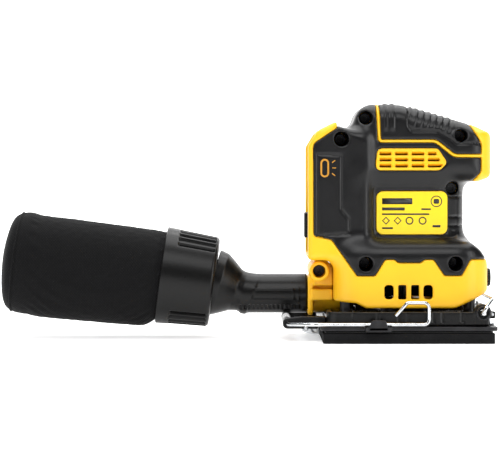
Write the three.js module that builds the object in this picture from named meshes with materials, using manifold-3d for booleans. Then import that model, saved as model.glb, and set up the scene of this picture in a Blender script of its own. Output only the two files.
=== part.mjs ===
// Cordless quarter-sheet orbital sander with a dust bag, as an assembly of separate pieces.
// Millimetres, +Z up. The origin is the centre of the sanding face, on the motor's axis.
// +X is the front of the tool, where the nose and the speed dial are; the battery foot, the dust
// outlet and the bag are at -X. +Y is the tool's left.
import * as THREE from "three";
import { mergeVertices } from "three/addons/utils/BufferGeometryUtils.js";
import Module from "manifold-3d";

const wasm = await Module();
wasm.setup();

// ---------------------------------------------------------------- driving dimensions
const GAP = 0.3; // clearance between touching pieces
const WALL = 3.5; // housing wall, with its rubber skin
const SKIN = 1.5; // rubber overmould thickness
const PAD_LENGTH = 106; // sanding pad along X
const PAD_WIDTH = 114; // sanding pad along Y
const FOAM_Z = [0, 6.4]; // foam pad, from the sanding face up
const BACKING_Z = [6.7, 7.6]; // stiff sheet that the foam is bonded to
const PLATE_Z = [7.9, 10.4]; // steel base plate
const PLATEN_Z = [10.7, 13.7]; // floor of the platen body
const SKIRT_TOP = 19.3; // top of the platen's skirt wall
const ORBIT = 0.8; // eccentric radius, half the orbit's diameter
const MOTOR_X = -ORBIT; // motor axis; the pad's own centre is the origin

const HEAD_HALF = 34; // half widths of the housing's zones, along Y
const FOOT_HALF = 37;
const WAIST_HALF = 31;
const LOWER_HALF = 44;
const FACE_X = -61.8; // battery face
const NOSE_X = 55; // front of the nose
const LOWER_FRONT_X = 53.2; // front of the lower housing
const LOWER_Z = [21, 63]; // lower housing

const SHAFT_R = 4;
const BEARING_R = 11; // lower and pad bearings
const SMALL_BEARING_R = 9.5; // upper bearing
const STATOR_R = 23;
const STATOR_Z = [55, 80];
const LOWER_BEARING_Z = [43, 50];
const UPPER_BEARING_Z = [88, 94];
const PAD_BEARING_Z = [12.2, 19];

const OUTLET_Z = 28.2; // height of the dust outlet's axis
const OUTLET_X = -58.1; // root of the outlet flange
const FLANGE_X = -61.3; // face of the outlet flange
const TUBE_R = 12.5; // outside of the bag's neck tube
const SPIGOT_R = 10.4; // duct that the neck slides over
const SPIGOT_END = -88;
const BAG_TILT = 8; // degrees that the bag rises towards its end
const BAG_ROOT = [-121.4, 0, 35.4]; // centre of the collar's front face
const SAG_FROM_X = -158;
const SAG_SLOPE = 0.03;

const WIRE_R = 1.1; // clamp wire
const ARM_Y = 58.8; // side arms of the clamp wires
const ARM_Z = 12;
const REAR_PIVOT = [-74.5, 10.9]; // x and z of the rear lever's axis
const FRONT_PIVOT = [45.6, 18.9]; // x and z of the front lever's axis
const BOW = [51.8, 27.3]; // x and z of the front lever's cross wire
const REAR_JAW_PIVOT = [-63, 8.4];
const FRONT_JAW_PIVOT = [52.2, 17.4];
const LEG_SPOTS = [
  [-37, -33],
  [-37, 33],
  [40, -31],
  [40, 31],
];
// x and z of the housing screws, which go in from the right
const SCREW_SPOTS = [
  [-41, 126.3],
  [-25.6, 139.6],
  [33.8, 128.5],
  [28.9, 95.6],
  [-26, 48.5],
  [29.6, 48.8],
  [-54.5, 43.4],
];
const POST_R = 5.2; // screw posts inside the shells
const RECESS_R = 3.9; // screw recesses
const HEAD_DEPTH = 14; // half distance from the parting plane to a screw head's seat
const HEAD_R = 3.5;
const THREAD_R = 1.6;
const BOSS_R = 6.2; // boss of the lowest screw, at the rear

const BAY_X = -56; // floor of the battery bay
const BAY_WALL_X = -52.5; // inside of the bay's floor
const BAY_HALF = 27; // half width of the bay between its rails
const RAIL_HALF = 31; // half width of the undercut behind the rails
const RAIL_X = -59.4; // front of the undercut
const BAY_BOTTOM = 54;
const PANEL_HALF = 26.4; // half the width of the panel that a battery lies against
const PANEL_Z = [80.6, 124];
const PANEL_STEP = 0.4;
const EXHAUST_X = [-11.7, -3.5, 4.5, 12.6]; // middles of the exhaust slots
const EXHAUST_HALF = 2.4;
const EXHAUST_Z = [26.7, 35.6];
const DIAL_Z = 38.5;
const DIAL_R = 6.1;
const BUTTON_HALF = 8.4;
const BUTTON_Z = [108.6, 123.4];
const CONTACT_Y = 7; // battery contacts and leads, at each side of the middle
const LUG_Y = [41, 44]; // lugs that carry the front jaw's pin
const CORNER_BOSS_Y = [46.5, 52.6]; // bosses that carry the front lever
const EAR_Y = [30, 36]; // ears of the rear bracket
const FAR = 200; // beyond every piece, for cutting blocks

// ---------------------------------------------------------------- colours
const paint = (color, roughness, metalness = 0) =>
  new THREE.MeshStandardMaterial({ color, roughness, metalness });
const YELLOW = paint("#f4b81c", 0.45);
const BLACK_PLASTIC = paint("#1b1b1c", 0.5);
const RUBBER = paint("#262627", 0.8);
const FOAM = paint("#1d1d1d", 0.95);
const FABRIC = paint("#161616", 0.95);
const STEEL = paint("#c9ccd0", 0.3, 1);
const DARK_STEEL = paint("#2b2b2d", 0.45, 0.8);
const COPPER = paint("#b5652c", 0.4, 0.9);
const LAMINATION = paint("#55585c", 0.5, 0.8);
const BOARD = paint("#1e4d33", 0.6);
const LABEL = paint("#f6c619", 0.5);
const RED_LEAD = paint("#a01c1c", 0.6);

// ---------------------------------------------------------------- outlines and solids
// Corners are [u, v, radius], counter-clockwise. A corner moves inwards by `inset`, and its
// radius shrinks if it is convex and grows if it is concave.
function insetCorners(corners, inset) {
  const n = corners.length;
  return corners.map(([u, v, r = 0], i) => {
    const before = corners[(i + n - 1) % n];
    const after = corners[(i + 1) % n];
    const a = new THREE.Vector2(u - before[0], v - before[1]).normalize();
    const b = new THREE.Vector2(after[0] - u, after[1] - v).normalize();
    const mitre = new THREE.Vector2(-a.y - b.y, a.x + b.x).normalize();
    const length = inset / Math.max(0.3, mitre.dot(new THREE.Vector2(-a.y, a.x)));
    const grown = a.cross(b) > 0 ? r - inset : r + inset;
    return [u + mitre.x * length, v + mitre.y * length, r && Math.max(0.3, grown)];
  });
}

// Points round the corners, each rounded corner an arc with one step per 30 degrees or less.
function outlineOf(corners) {
  const n = corners.length;
  return corners.flatMap(([u, v, r = 0], i) => {
    const at = new THREE.Vector2(u, v);
    if (!r) return [at];
    const before = new THREE.Vector2(...corners[(i + n - 1) % n].slice(0, 2)).sub(at);
    const after = new THREE.Vector2(...corners[(i + 1) % n].slice(0, 2)).sub(at);
    const half = Math.acos(before.dot(after) / (before.length() * after.length())) / 2;
    const room = Math.min(before.length(), after.length()) * 0.48;
    const radius = Math.min(r, room * Math.tan(half));
    const reach = radius / Math.tan(half);
    const bisector = before.normalize().clone().add(after.normalize()).normalize();
    const centre = at.clone().addScaledVector(bisector, radius / Math.sin(half));
    const start = at.clone().addScaledVector(before, reach).sub(centre);
    const end = at.clone().addScaledVector(after, reach).sub(centre);
    const sweep = Math.atan2(start.cross(end), start.dot(end));
    const steps = Math.max(1, Math.ceil((Math.PI - 2 * half) / (Math.PI / 6) - 0.01));
    return Array.from({ length: steps + 1 }, (_, k) =>
      start
        .clone()
        .rotateAround(new THREE.Vector2(), (sweep * k) / steps)
        .add(centre),
    );
  });
}

function manifoldOf(position, index) {
  return new wasm.Manifold(
    new wasm.Mesh({
      numProp: 3,
      vertProperties: new Float32Array(position),
      triVerts: new Uint32Array(index),
    }),
  );
}

function solidOf(geometry) {
  const plain = geometry.clone();
  plain.deleteAttribute("normal");
  plain.deleteAttribute("uv");
  const merged = mergeVertices(plain, 1e-4);
  return manifoldOf(merged.attributes.position.array, merged.index.array);
}

// Places a point drawn in a prism's own plane: along X it is drawn in (y, z), along Y in (x, z)
// and along Z in (x, y).
const PLACE = {
  x: (u, v, t) => [t, u, v],
  y: (u, v, t) => [u, t, v],
  z: (u, v, t) => [u, v, t],
};

// A prism from `low` to `high` along an axis, its end edges rounded by `bevel`.
function prism(axis, corners, low, high, bevel = 0) {
  const steps = bevel > 3 ? 3 : 2;
  const levels = [];
  for (let i = 0; i <= (bevel ? steps : 0); i += 1) {
    const angle = bevel ? (i / steps) * (Math.PI / 2) : 0;
    levels.push([bevel * (1 - Math.sin(angle)), bevel * (1 - Math.cos(angle))]);
  }
  const upper = levels.map(([inset, rise]) => [inset, high - rise]).reverse();
  const rings = [...levels.map(([inset, rise]) => [inset, low + rise]), ...upper];
  const loops = rings.map(([inset]) => outlineOf(insetCorners(corners, inset)));
  const n = loops[0].length;
  const position = loops.flatMap((loop, k) => loop.flatMap((p) => PLACE[axis](p.x, p.y, rings[k][1])));
  const index = [];
  for (let k = 0; k + 1 < loops.length; k += 1)
    for (let i = 0; i < n; i += 1) {
      const a = k * n + i;
      const b = k * n + ((i + 1) % n);
      index.push(a, b, b + n, a, b + n, a + n);
    }
  const top = (loops.length - 1) * n;
  for (const [a, b, c] of THREE.ShapeUtils.triangulateShape(loops[0], [])) index.push(a, c, b);
  for (const [a, b, c] of THREE.ShapeUtils.triangulateShape(loops.at(-1), []))
    index.push(top + a, top + b, top + c);
  if (axis === "y") index.reverse();
  return manifoldOf(position, index);
}

const polygon = (u, v, r, sides) =>
  Array.from({ length: sides }, (_, i) => {
    const angle = ((i + 0.5) / sides) * Math.PI * 2;
    return [u + r * Math.cos(angle), v + r * Math.sin(angle)];
  });
const rod = (axis, u, v, r, low, high, sides = 16) =>
  prism(axis, polygon(u, v, r, sides), low, high);

const block = (x, y, z) =>
  solidOf(
    new THREE.BoxGeometry(x[1] - x[0], y[1] - y[0], z[1] - z[0]).translate(
      (x[0] + x[1]) / 2,
      (y[0] + y[1]) / 2,
      (z[0] + z[1]) / 2,
    ),
  );

// A body of revolution. The profile is a closed loop of [r, t]; t runs along `direction` from
// `origin`.
function turned(profile, origin, direction, sides = 24, adjust = null) {
  const points = profile.map(([r, t]) => new THREE.Vector2(Math.max(r, 0), t));
  if (profile[0][0] > 0) points.push(points[0].clone());
  const geometry = new THREE.LatheGeometry(points, sides);
  const turn = new THREE.Quaternion().setFromUnitVectors(
    new THREE.Vector3(0, 1, 0),
    new THREE.Vector3(...direction).normalize(),
  );
  geometry.applyQuaternion(turn).translate(...origin);
  if (adjust) adjust(geometry.attributes.position);
  const made = solidOf(geometry);
  if (made.volume() > 0) return made;
  return solidOf(turnInsideOut(geometry));
}

function turnInsideOut(geometry) {
  const flipped = geometry.toNonIndexed();
  const array = flipped.attributes.position.array;
  for (let i = 0; i < array.length; i += 9)
    for (let k = 0; k < 3; k += 1)
      [array[i + 3 + k], array[i + 6 + k]] = [array[i + 6 + k], array[i + 3 + k]];
  return flipped;
}

// Points of a wire that runs straight between corners and turns each with a bend of radius r.
function bentWire(corners, pieces = 3) {
  const at = corners.map((c) => new THREE.Vector3(...c.slice(0, 3)));
  const path = new THREE.CurvePath();
  let from = at[0];
  for (let i = 1; i < at.length - 1; i += 1) {
    const into = at[i - 1].clone().sub(at[i]);
    const out = at[i + 1].clone().sub(at[i]);
    const reach = corners[i][3] / Math.tan(into.angleTo(out) / 2);
    const start = at[i].clone().addScaledVector(into.normalize(), reach);
    const end = at[i].clone().addScaledVector(out.normalize(), reach);
    path.add(new THREE.LineCurve3(from, start));
    path.add(new THREE.QuadraticBezierCurve3(start, at[i], end));
    from = end;
  }
  path.add(new THREE.LineCurve3(from, at.at(-1)));
  const points = [];
  for (const curve of path.curves) {
    const count = curve.isLineCurve3 ? 1 : pieces;
    for (let i = 0; i < count; i += 1) points.push(curve.getPoint(i / count));
  }
  points.push(at.at(-1));
  return points;
}

// A round wire of radius r through the points.
function wire(points, r, sides = 8) {
  const n = points.length;
  const side = new THREE.Vector3();
  const position = [];
  for (let k = 0; k < n; k += 1) {
    const into = points[k].clone().sub(points[Math.max(k - 1, 0)]).normalize();
    const out = points[Math.min(k + 1, n - 1)].clone().sub(points[k]).normalize();
    const along = into.clone().add(out).normalize();
    if (k === 0) {
      const helper = Math.abs(out.y) > 0.7 ? new THREE.Vector3(1, 0, 0) : new THREE.Vector3(0, 1, 0);
      side.copy(helper);
    }
    side.addScaledVector(along, -side.dot(along)).normalize();
    const up = along.clone().cross(side);
    for (let i = 0; i < sides; i += 1) {
      const angle = ((i + 0.5) / sides) * Math.PI * 2;
      const at = points[k]
        .clone()
        .addScaledVector(side, r * Math.cos(angle))
        .addScaledVector(up, r * Math.sin(angle));
      position.push(...at);
    }
  }
  const index = [];
  for (let k = 0; k + 1 < n; k += 1)
    for (let i = 0; i < sides; i += 1) {
      const a = k * sides + i;
      const b = k * sides + ((i + 1) % sides);
      index.push(a, b, b + sides, a, b + sides, a + sides);
    }
  const last = (n - 1) * sides;
  for (let i = 1; i + 1 < sides; i += 1) {
    index.push(0, i + 1, i);
    index.push(last, last + i, last + i + 1);
  }
  return manifoldOf(position, index);
}

const union = (...solids) => solids.reduce((a, b) => a.add(b));

function meshOf(solid, name, material) {
  const mesh = solid.getMesh();
  const position = new Float32Array(mesh.numVert * 3);
  for (let i = 0; i < mesh.numVert; i += 1)
    for (let k = 0; k < 3; k += 1)
      position[3 * i + k] = mesh.vertProperties[mesh.numProp * i + k];
  const geometry = new THREE.BufferGeometry();
  geometry.setAttribute("position", new THREE.BufferAttribute(position, 3));
  geometry.setIndex(new THREE.BufferAttribute(mesh.triVerts, 1));
  geometry.computeVertexNormals();
  const made = new THREE.Mesh(geometry, material);
  made.name = name;
  return made;
}

const sander = new THREE.Group();
const motorGroup = new THREE.Group();
motorGroup.position.x = MOTOR_X;
sander.add(motorGroup);
const add = (name, solid, material) => sander.add(meshOf(solid, name, material));

// ---------------------------------------------------------------- housing outlines, seen from the side
const HEAD_OUTLINE = [
  [-33, 99.6, 4],
  [46, 99.8, 8],
  [NOSE_X, 104, 7],
  [NOSE_X, 128, 7],
  [40, 135.6, 20],
  [-4, 148, 40],
  [-30.5, 148, 12],
  [-34, 128, 6],
];
const HEAD_PLAN = [
  [-40, -HEAD_HALF, 5],
  [NOSE_X - 3.5, -HEAD_HALF, 16],
  [NOSE_X, 0, 90],
  [NOSE_X - 3.5, HEAD_HALF, 16],
  [-40, HEAD_HALF, 5],
];
const FOOT_OUTLINE = [
  [FACE_X, 50.6, 3],
  [-20, 50.6, 3],
  [-20, 128, 6],
  [-34, 132, 4],
  [-44.8, 137, 3],
  [FACE_X, 122.6, 5],
];
const LOWER_OUTLINE = [
  [-46, 25, 1],
  [-32, 24.2, 1],
  [-26, LOWER_Z[0], 1],
  [29.3, LOWER_Z[0], 2],
  [LOWER_FRONT_X, 32, 2],
  [LOWER_FRONT_X, 47, 3],
  [46.6, 56, 4],
  [37.7, LOWER_Z[1], 4],
  [-40, LOWER_Z[1], 4],
  [-46, 52, 2],
];
const WAIST_PLAN = [
  [-30, -WAIST_HALF, 5],
  [37.4, -WAIST_HALF, 22],
  [37.4, WAIST_HALF, 22],
  [-30, WAIST_HALF, 5],
];
const LOWER_PLAN = [
  [-46, -LOWER_HALF, 18],
  [LOWER_FRONT_X - 3.6, -LOWER_HALF, 20],
  [LOWER_FRONT_X, 0, 120],
  [LOWER_FRONT_X - 3.6, LOWER_HALF, 20],
  [-46, LOWER_HALF, 18],
];
// Edge of the rubber skin on the housing's side.
const SKIN_OUTLINE = [
  [-58.6, 66, 3],
  [-47.6, 63.4, 3],
  [-31.4, 41, 1],
  [-20.3, 41, 1],
  [-14, 51.4, 1],
  [-8.4, 51.4, 1],
  [-6, 49.2, 1],
  [7.9, 49.2, 1],
  [10.3, 51.4, 1],
  [15.9, 51.4, 1],
  [23, 41.2, 1],
  [33.3, 41.2, 1],
  [39, 51.4, 1],
  [70, 51.4, 1],
  [70, 92, 1],
  [41.7, 92, 1],
  [47, 104, 4],
  [47, 123, 5],
  [37, 140, 5],
  [37, 160, 1],
  [-42, 160, 1],
  [-43.5, 133.5, 1],
  [-58.6, 123, 4],
];
// Upper grip, whose edge is the bare stripe of shell between the two rubber pieces.
const GRIP_OUTLINE = [
  [-18, 125.1, 1],
  [17, 125.1, 4],
  [29.5, 115.9, 4],
  [70, 115.9, 1],
  [70, 170, 1],
  [-19.3, 170, 1],
];
const VENT_OUTLINE = [
  [-19.4, 106.8, 4],
  [20.5, 106.8, 4],
  [25.2, 111.2, 2],
  [19, 120.5, 3],
  [-18.6, 120.5, 4],
];
const STRIPE_HALF = 0.9;
const LABEL_X = [-18.8, 25.5];
const LABEL_Z = [66.8, 93.6];

// The housing's outside, moved inwards by `inset`.
function housing(inset) {
  const side = (corners, half, bevel) =>
    prism("y", insetCorners(corners, inset), inset - half, half - inset, bevel);
  const headPlan = prism("z", insetCorners(HEAD_PLAN, inset), 90, 160);
  const head = side(HEAD_OUTLINE, HEAD_HALF, Math.max(1, 6 - inset)).intersect(headPlan);
  const foot = side(FOOT_OUTLINE, FOOT_HALF, Math.max(0.6, 2.5 - inset));
  const waist = prism("z", insetCorners(WAIST_PLAN, inset), 50, 108);
  const top = LOWER_Z[1] - inset;
  const lower = prism(
    "z",
    insetCorners(LOWER_PLAN, inset),
    10,
    top,
    Math.max(2, 7 - inset),
  ).intersect(side(LOWER_OUTLINE, LOWER_HALF + 5, 0));
  return union(head, foot, waist, lower);
}

const outerBody = housing(0);
const underSkin = housing(SKIN + GAP);
const cavity = housing(WALL);

const SHELL_SCREWS = SCREW_SPOTS.slice(0, -1);
const OUTLET_SCREW = SCREW_SPOTS.at(-1);

// Separate outlet piece at the rear end: a barrel round the duct, its flange, and the boss of the
// lowest screw, held between the halves of the housing.
function dustOutlet() {
  const barrel = rod("x", 0, OUTLET_Z, 12, OUTLET_X - 0.5, -42, 10);
  const band = block([OUTLET_X - 0.5, -44], [-18, 18], [24.6, 31.8]);
  const flange = prism(
    "x",
    [
      [-16, 15, 4],
      [16, 15, 4],
      [16, 39.6, 4],
      [-16, 39.6, 4],
    ],
    FLANGE_X,
    OUTLET_X,
  );
  const [bossX, bossZ] = OUTLET_SCREW;
  const boss = rod("y", bossX, bossZ, BOSS_R, -27, 27, 8);
  const web = block([bossX - 3, -44], [-18, 18], [34, 53]);
  const made = union(barrel, band, flange, boss, web)
    .subtract(housing(-GAP))
    .subtract(rod("x", 0, OUTLET_Z, SPIGOT_R + GAP, -70, -30, 16))
    .subtract(rod("y", bossX, bossZ, RECESS_R, -FAR, -HEAD_DEPTH, 8))
    .subtract(rod("y", bossX, bossZ, THREAD_R + GAP, -FAR, 16, 6));
  add("dust_outlet", largest(made), YELLOW);
}

// Floor of the battery bay, which closes the housing behind the terminals. Its middle panel stands
// proud of the rails' undercuts, as the face that a battery pack lies against.
function batteryReceiver() {
  const across = [-HEAD_HALF, HEAD_HALF];
  const wall = block([BAY_X + PANEL_STEP, BAY_WALL_X], across, [BAY_BOTTOM - 1, 131]);
  const panel = block([BAY_X, BAY_WALL_X], [-PANEL_HALF, PANEL_HALF], PANEL_Z);
  add("battery_receiver", union(wall, panel).intersect(housing(WALL + GAP)), BLACK_PLASTIC);
}

// A side view outline swept through the whole width. `grow` moves the edge outwards.
const sideArea = (corners, grow) => prism("y", insetCorners(corners, -grow), -FAR, FAR);
const rightOf = (solid) => solid.subtract(block([-FAR, FAR], [-GAP / 2, FAR], [0, FAR]));
const leftOf = (solid) => solid.subtract(block([-FAR, FAR], [-FAR, GAP / 2], [0, FAR]));
const bothSides = (low, high) => [
  [-high, -low],
  [low, high],
];

function shells() {
  const bare = outerBody.subtract(sideArea(SKIN_OUTLINE, GAP));
  const stripe = sideArea(GRIP_OUTLINE, STRIPE_HALF)
    .subtract(sideArea(GRIP_OUTLINE, -STRIPE_HALF))
    .intersect(outerBody);
  const envelope = union(bare, stripe, underSkin);
  let body = envelope.subtract(cavity);

  // ribs that hold the bearings and the stator, between the two halves
  const rib = (z, hole) =>
    prism("z", insetCorners(WAIST_PLAN, 2), z[0], z[1]).subtract(
      rod("z", MOTOR_X, 0, hole, z[0] - 1, z[1] + 1, 20),
    );
  body = union(
    body,
    rib(LOWER_BEARING_Z.map((z, i) => z + (i ? 0.5 : -0.5)), BEARING_R + GAP),
    rib([58, 61], STATOR_R + 0.6),
    rib([74, 77], STATOR_R + 0.6),
    rib(UPPER_BEARING_Z.map((z, i) => z + (i ? 0.5 : -0.5)), SMALL_BEARING_R + GAP),
  );
  // sockets for the rubber legs
  for (const [x, y] of LEG_SPOTS) {
    const post = rod("z", x + MOTOR_X, y, 7.5, 24.5, 41, 8).intersect(housing(1));
    body = body.add(post).subtract(rod("z", x + MOTOR_X, y, 5.7, 10, 38, 8));
  }
  // battery bay: a pocket open to the back and top, with undercut rails at its sides
  body = body
    .subtract(block([-FAR, BAY_X], [-BAY_HALF, BAY_HALF], [BAY_BOTTOM, FAR]))
    .subtract(block([RAIL_X, BAY_X], [-RAIL_HALF, RAIL_HALF], [BAY_BOTTOM, FAR]));
  // opening below the counterweight
  body = body.subtract(rod("z", MOTOR_X, 0, 22, 10, 30, 16));
  // vents, the button's and the dial's openings
  body = body.subtract(sideArea(VENT_OUTLINE, GAP));
  for (const slotX of EXHAUST_X)
    for (const y of bothSides(36, 50))
      body = body.subtract(block([slotX - EXHAUST_HALF, slotX + EXHAUST_HALF], y, EXHAUST_Z));
  const buttonHole = [
    [NOSE_X - 6, NOSE_X + 2],
    [-BUTTON_HALF - 0.6, BUTTON_HALF + 0.6],
    [BUTTON_Z[0] - 0.6, BUTTON_Z[1] + 0.6],
  ];
  body = body.subtract(block(...buttonHole));
  body = body.subtract(rod("x", 0, DIAL_Z, DIAL_R + 0.6, LOWER_FRONT_X - 6, 60, 12));

  let right = body;
  let left = body;
  for (const [x, z] of SHELL_SCREWS) {
    const post = rod("y", x, z, POST_R, -44, 44, 8).intersect(envelope);
    right = right
      .add(post)
      .subtract(rod("y", x, z, RECESS_R, -FAR, -HEAD_DEPTH, 8))
      .subtract(rod("y", x, z, THREAD_R + GAP, -FAR, 1, 6));
    left = left.add(post).subtract(rod("y", x, z, THREAD_R + GAP, -1, 16, 6));
  }
  const duct = rod("x", 0, OUTLET_Z, SPIGOT_R + GAP, -70, -30, 16);
  add("right_housing_shell", largest(rightOf(right.subtract(duct))), YELLOW);
  add("left_housing_shell", largest(leftOf(left.subtract(duct))), YELLOW);
}

// Keeps the biggest piece of a cut, and drops loose slivers.
function largest(solid) {
  return solid.decompose().reduce((a, b) => (a.volume() > b.volume() ? a : b));
}

function rubberSkins() {
  const skin = outerBody.subtract(housing(SKIN));
  const recesses = (solid) =>
    SHELL_SCREWS.reduce(
      (made, [x, z]) => made.subtract(rod("y", x, z, RECESS_R, -FAR, 0, 8)),
      solid,
    );
  const bay = block([-FAR, BAY_X + 4], [-RAIL_HALF - 1, RAIL_HALF + 1], [BAY_BOTTOM, FAR]);
  const label = block(
    [LABEL_X[0] - GAP, LABEL_X[1] + GAP],
    [-FAR, 0],
    [LABEL_Z[0] - GAP, LABEL_Z[1] + GAP],
  );
  const body = recesses(
    skin
      .intersect(sideArea(SKIN_OUTLINE, 0))
      .subtract(sideArea(GRIP_OUTLINE, STRIPE_HALF + GAP))
      .subtract(sideArea(VENT_OUTLINE, GAP))
      .subtract(bay),
  ).subtract(label);
  add("right_overmould", largest(rightOf(body)), RUBBER);
  add("left_overmould", largest(leftOf(body)), RUBBER);
  const grip = recesses(
    skin
      .intersect(sideArea(SKIN_OUTLINE, 0))
      .intersect(sideArea(GRIP_OUTLINE, -STRIPE_HALF - GAP)),
  );
  add("grip_overmould", largest(grip), RUBBER);
}

function ventGrilles() {
  const insert = outerBody.subtract(housing(3)).intersect(sideArea(VENT_OUTLINE, 0));
  const slots = [];
  for (const z of [109.9, 113.7, 117.5])
    for (const x of [-13.6, -3.4, 7, 16])
      slots.push([x - 3.9, x + (x > 10 ? 3.2 : 3.9), z - 0.9, z + 0.9]);
  let slotted = insert;
  for (const [x0, x1, z0, z1] of slots)
    slotted = slotted.subtract(block([x0, x1], [-FAR, FAR], [z0, z1]));
  add("right_vent_grille", largest(rightOf(slotted)), YELLOW);
  add("left_vent_grille", largest(leftOf(slotted)), YELLOW);
}

function labelPlate() {
  const [x0, x1] = LABEL_X;
  const [z0, z1] = LABEL_Z;
  const outline = [
    [x0, z0, 4],
    [x1, z0, 4],
    [x1, z1, 4],
    [x0, z1, 4],
  ];
  const depth = [-WAIST_HALF - 0.2, -WAIST_HALF + SKIN - GAP / 2];
  const plate = prism("y", outline, depth[0], depth[1]).subtract(
    rod("y", ...SCREW_SPOTS[3], POST_R + 0.6, -FAR, 0, 8),
  );
  add("rating_plate", plate, LABEL);
}

function screws() {
  SCREW_SPOTS.forEach(([x, z], i) => {
    const head = rod("y", x, z, HEAD_R, -HEAD_DEPTH - 2.4, -HEAD_DEPTH - 0.2, 5);
    const shank = rod("y", x, z, THREAD_R, -HEAD_DEPTH - 1, 12, 4);
    const socket = rod("y", x, z, 1.3, -HEAD_DEPTH - 3, -HEAD_DEPTH - 1, 3);
    add(`housing_screw_${i + 1}`, head.add(shank).subtract(socket), DARK_STEEL);
  });
}

// ---------------------------------------------------------------- motor and electrics
const ring = (outer, inner, z, sides = 24) =>
  turned(
    [
      [inner, z[0]],
      [outer, z[0]],
      [outer, z[1]],
      [inner, z[1]],
    ],
    [0, 0, 0],
    [0, 0, 1],
    sides,
  );

function motor() {
  const place = (name, solid, material) => motorGroup.add(meshOf(solid, name, material));
  place("stator_core", ring(STATOR_R, 12.3, STATOR_Z), LAMINATION);
  place("lower_winding", ring(20.5, 13, [STATOR_Z[0] - 3.6, STATOR_Z[0] - GAP], 16), COPPER);
  place("upper_winding", ring(20.5, 13, [STATOR_Z[1] + GAP, STATOR_Z[1] + 4], 16), COPPER);
  place("lower_bearing", ring(BEARING_R, SHAFT_R + GAP, LOWER_BEARING_Z, 16), STEEL);
  place("upper_bearing", ring(SMALL_BEARING_R, SHAFT_R + GAP, UPPER_BEARING_Z, 16), STEEL);

  const shaft = rod("z", 0, 0, SHAFT_R, 20, 96, 8);
  const eccentric = rod("z", ORBIT, 0, 3, PAD_BEARING_Z[0], 21, 8);
  place("motor_shaft", shaft.add(eccentric), STEEL);
  place("rotor_core", ring(11.6, SHAFT_R + GAP, STATOR_Z, 16), LAMINATION);

  const bore = rod("z", 0, 0, SHAFT_R + GAP, 10, 60, 8);
  const weight = rod("z", 0, 0, 19, 21.3, 26.4, 12)
    .subtract(block([2.5, 40], [-40, 40], [0, 60]))
    .add(rod("z", 0, 0, 7, 21.3, 26.4, 8))
    .subtract(bore);
  place("counterweight", weight, DARK_STEEL);
  let fan = union(rod("z", 0, 0, 29, 34, 35.6, 12), rod("z", 0, 0, 7.5, 27, 35.6, 8));
  const blades = 8;
  for (let i = 0; i < blades; i += 1) {
    const blade = new THREE.BoxGeometry(20.5, 1.4, 7.3).translate(17.2, 0, 30.65);
    fan = fan.add(solidOf(blade.rotateZ((i * 2 * Math.PI) / blades)));
  }
  place("dust_fan", fan.subtract(bore), BLACK_PLASTIC);
}

function electrics() {
  const board = block([-18, 27], [-23, 23], [104.5, 107]);
  const components = block([-16, 25], [-21, 21], [106.5, 114]);
  add("control_module", board.add(components), BOARD);
  add("switch_module", block([35, 46.8], [-8, 8], [108.6, 122]), BLACK_PLASTIC);
  const terminals = block([-63.6, -56.3], [-13.5, 13.5], [64.2, 80])
    .subtract(block([-62.4, -58], [-CONTACT_Y - 1.9, -CONTACT_Y + 1.9], [70, 90]))
    .subtract(block([-62.4, -58], [CONTACT_Y - 1.9, CONTACT_Y + 1.9], [70, 90]));
  add("terminal_block", terminals, BLACK_PLASTIC);
  for (const [name, y] of [
    ["positive_contact", CONTACT_Y],
    ["negative_contact", -CONTACT_Y],
  ])
    add(name, block([-60.7, -59.7], [y - 1.6, y + 1.6], [70.3, 79.4]), STEEL);
  for (const [name, y, material] of [
    ["positive_lead", CONTACT_Y, RED_LEAD],
    ["negative_lead", -CONTACT_Y, BLACK_PLASTIC],
  ]) {
    const route = [
      [-52, y, 72],
      [-40, y, 74, 6],
      [-37, y * 1.2, 111, 8],
      [-18.5, y, 111],
    ];
    add(name, wire(bentWire(route), 1.3, 6), material);
  }
}

// ---------------------------------------------------------------- controls
function controls() {
  const button = prism(
    "x",
    [
      [-BUTTON_HALF, BUTTON_Z[0], 3],
      [BUTTON_HALF, BUTTON_Z[0], 3],
      [BUTTON_HALF, BUTTON_Z[1], 3],
      [-BUTTON_HALF, BUTTON_Z[1], 3],
    ],
    49.6,
    NOSE_X - 0.2,
    0.8,
  );
  add("power_button", button, RUBBER);
  let dial = rod("x", 0, DIAL_Z, DIAL_R, 48.2, LOWER_FRONT_X + 2.4, 10);
  dial = dial.subtract(block([LOWER_FRONT_X + 1.4, 60], [-0.6, 0.6], [DIAL_Z + 2, DIAL_Z + 7]));
  add("speed_dial", dial, BLACK_PLASTIC);
}

// ---------------------------------------------------------------- dust outlet and bag
const TILT = THREE.MathUtils.degToRad(BAG_TILT);
const BAG_AXIS = [-Math.cos(TILT), 0, Math.sin(TILT)];
const FUNNEL_AXIS = [-19.4, 0, 6.4];

function dustDuct() {
  const outer = rod("x", 0, OUTLET_Z, SPIGOT_R, SPIGOT_END, -32, 12);
  add("dust_duct", outer.subtract(rod("x", 0, OUTLET_Z, 9, -100, -20, 12)), BLACK_PLASTIC);
}

// The fabric hangs a little lower than the collar's axis.
function sag(position) {
  for (let i = 0; i < position.count; i += 1) {
    const past = Math.max(0, SAG_FROM_X - position.getX(i));
    position.setZ(i, position.getZ(i) - past * SAG_SLOPE);
  }
}

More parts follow.
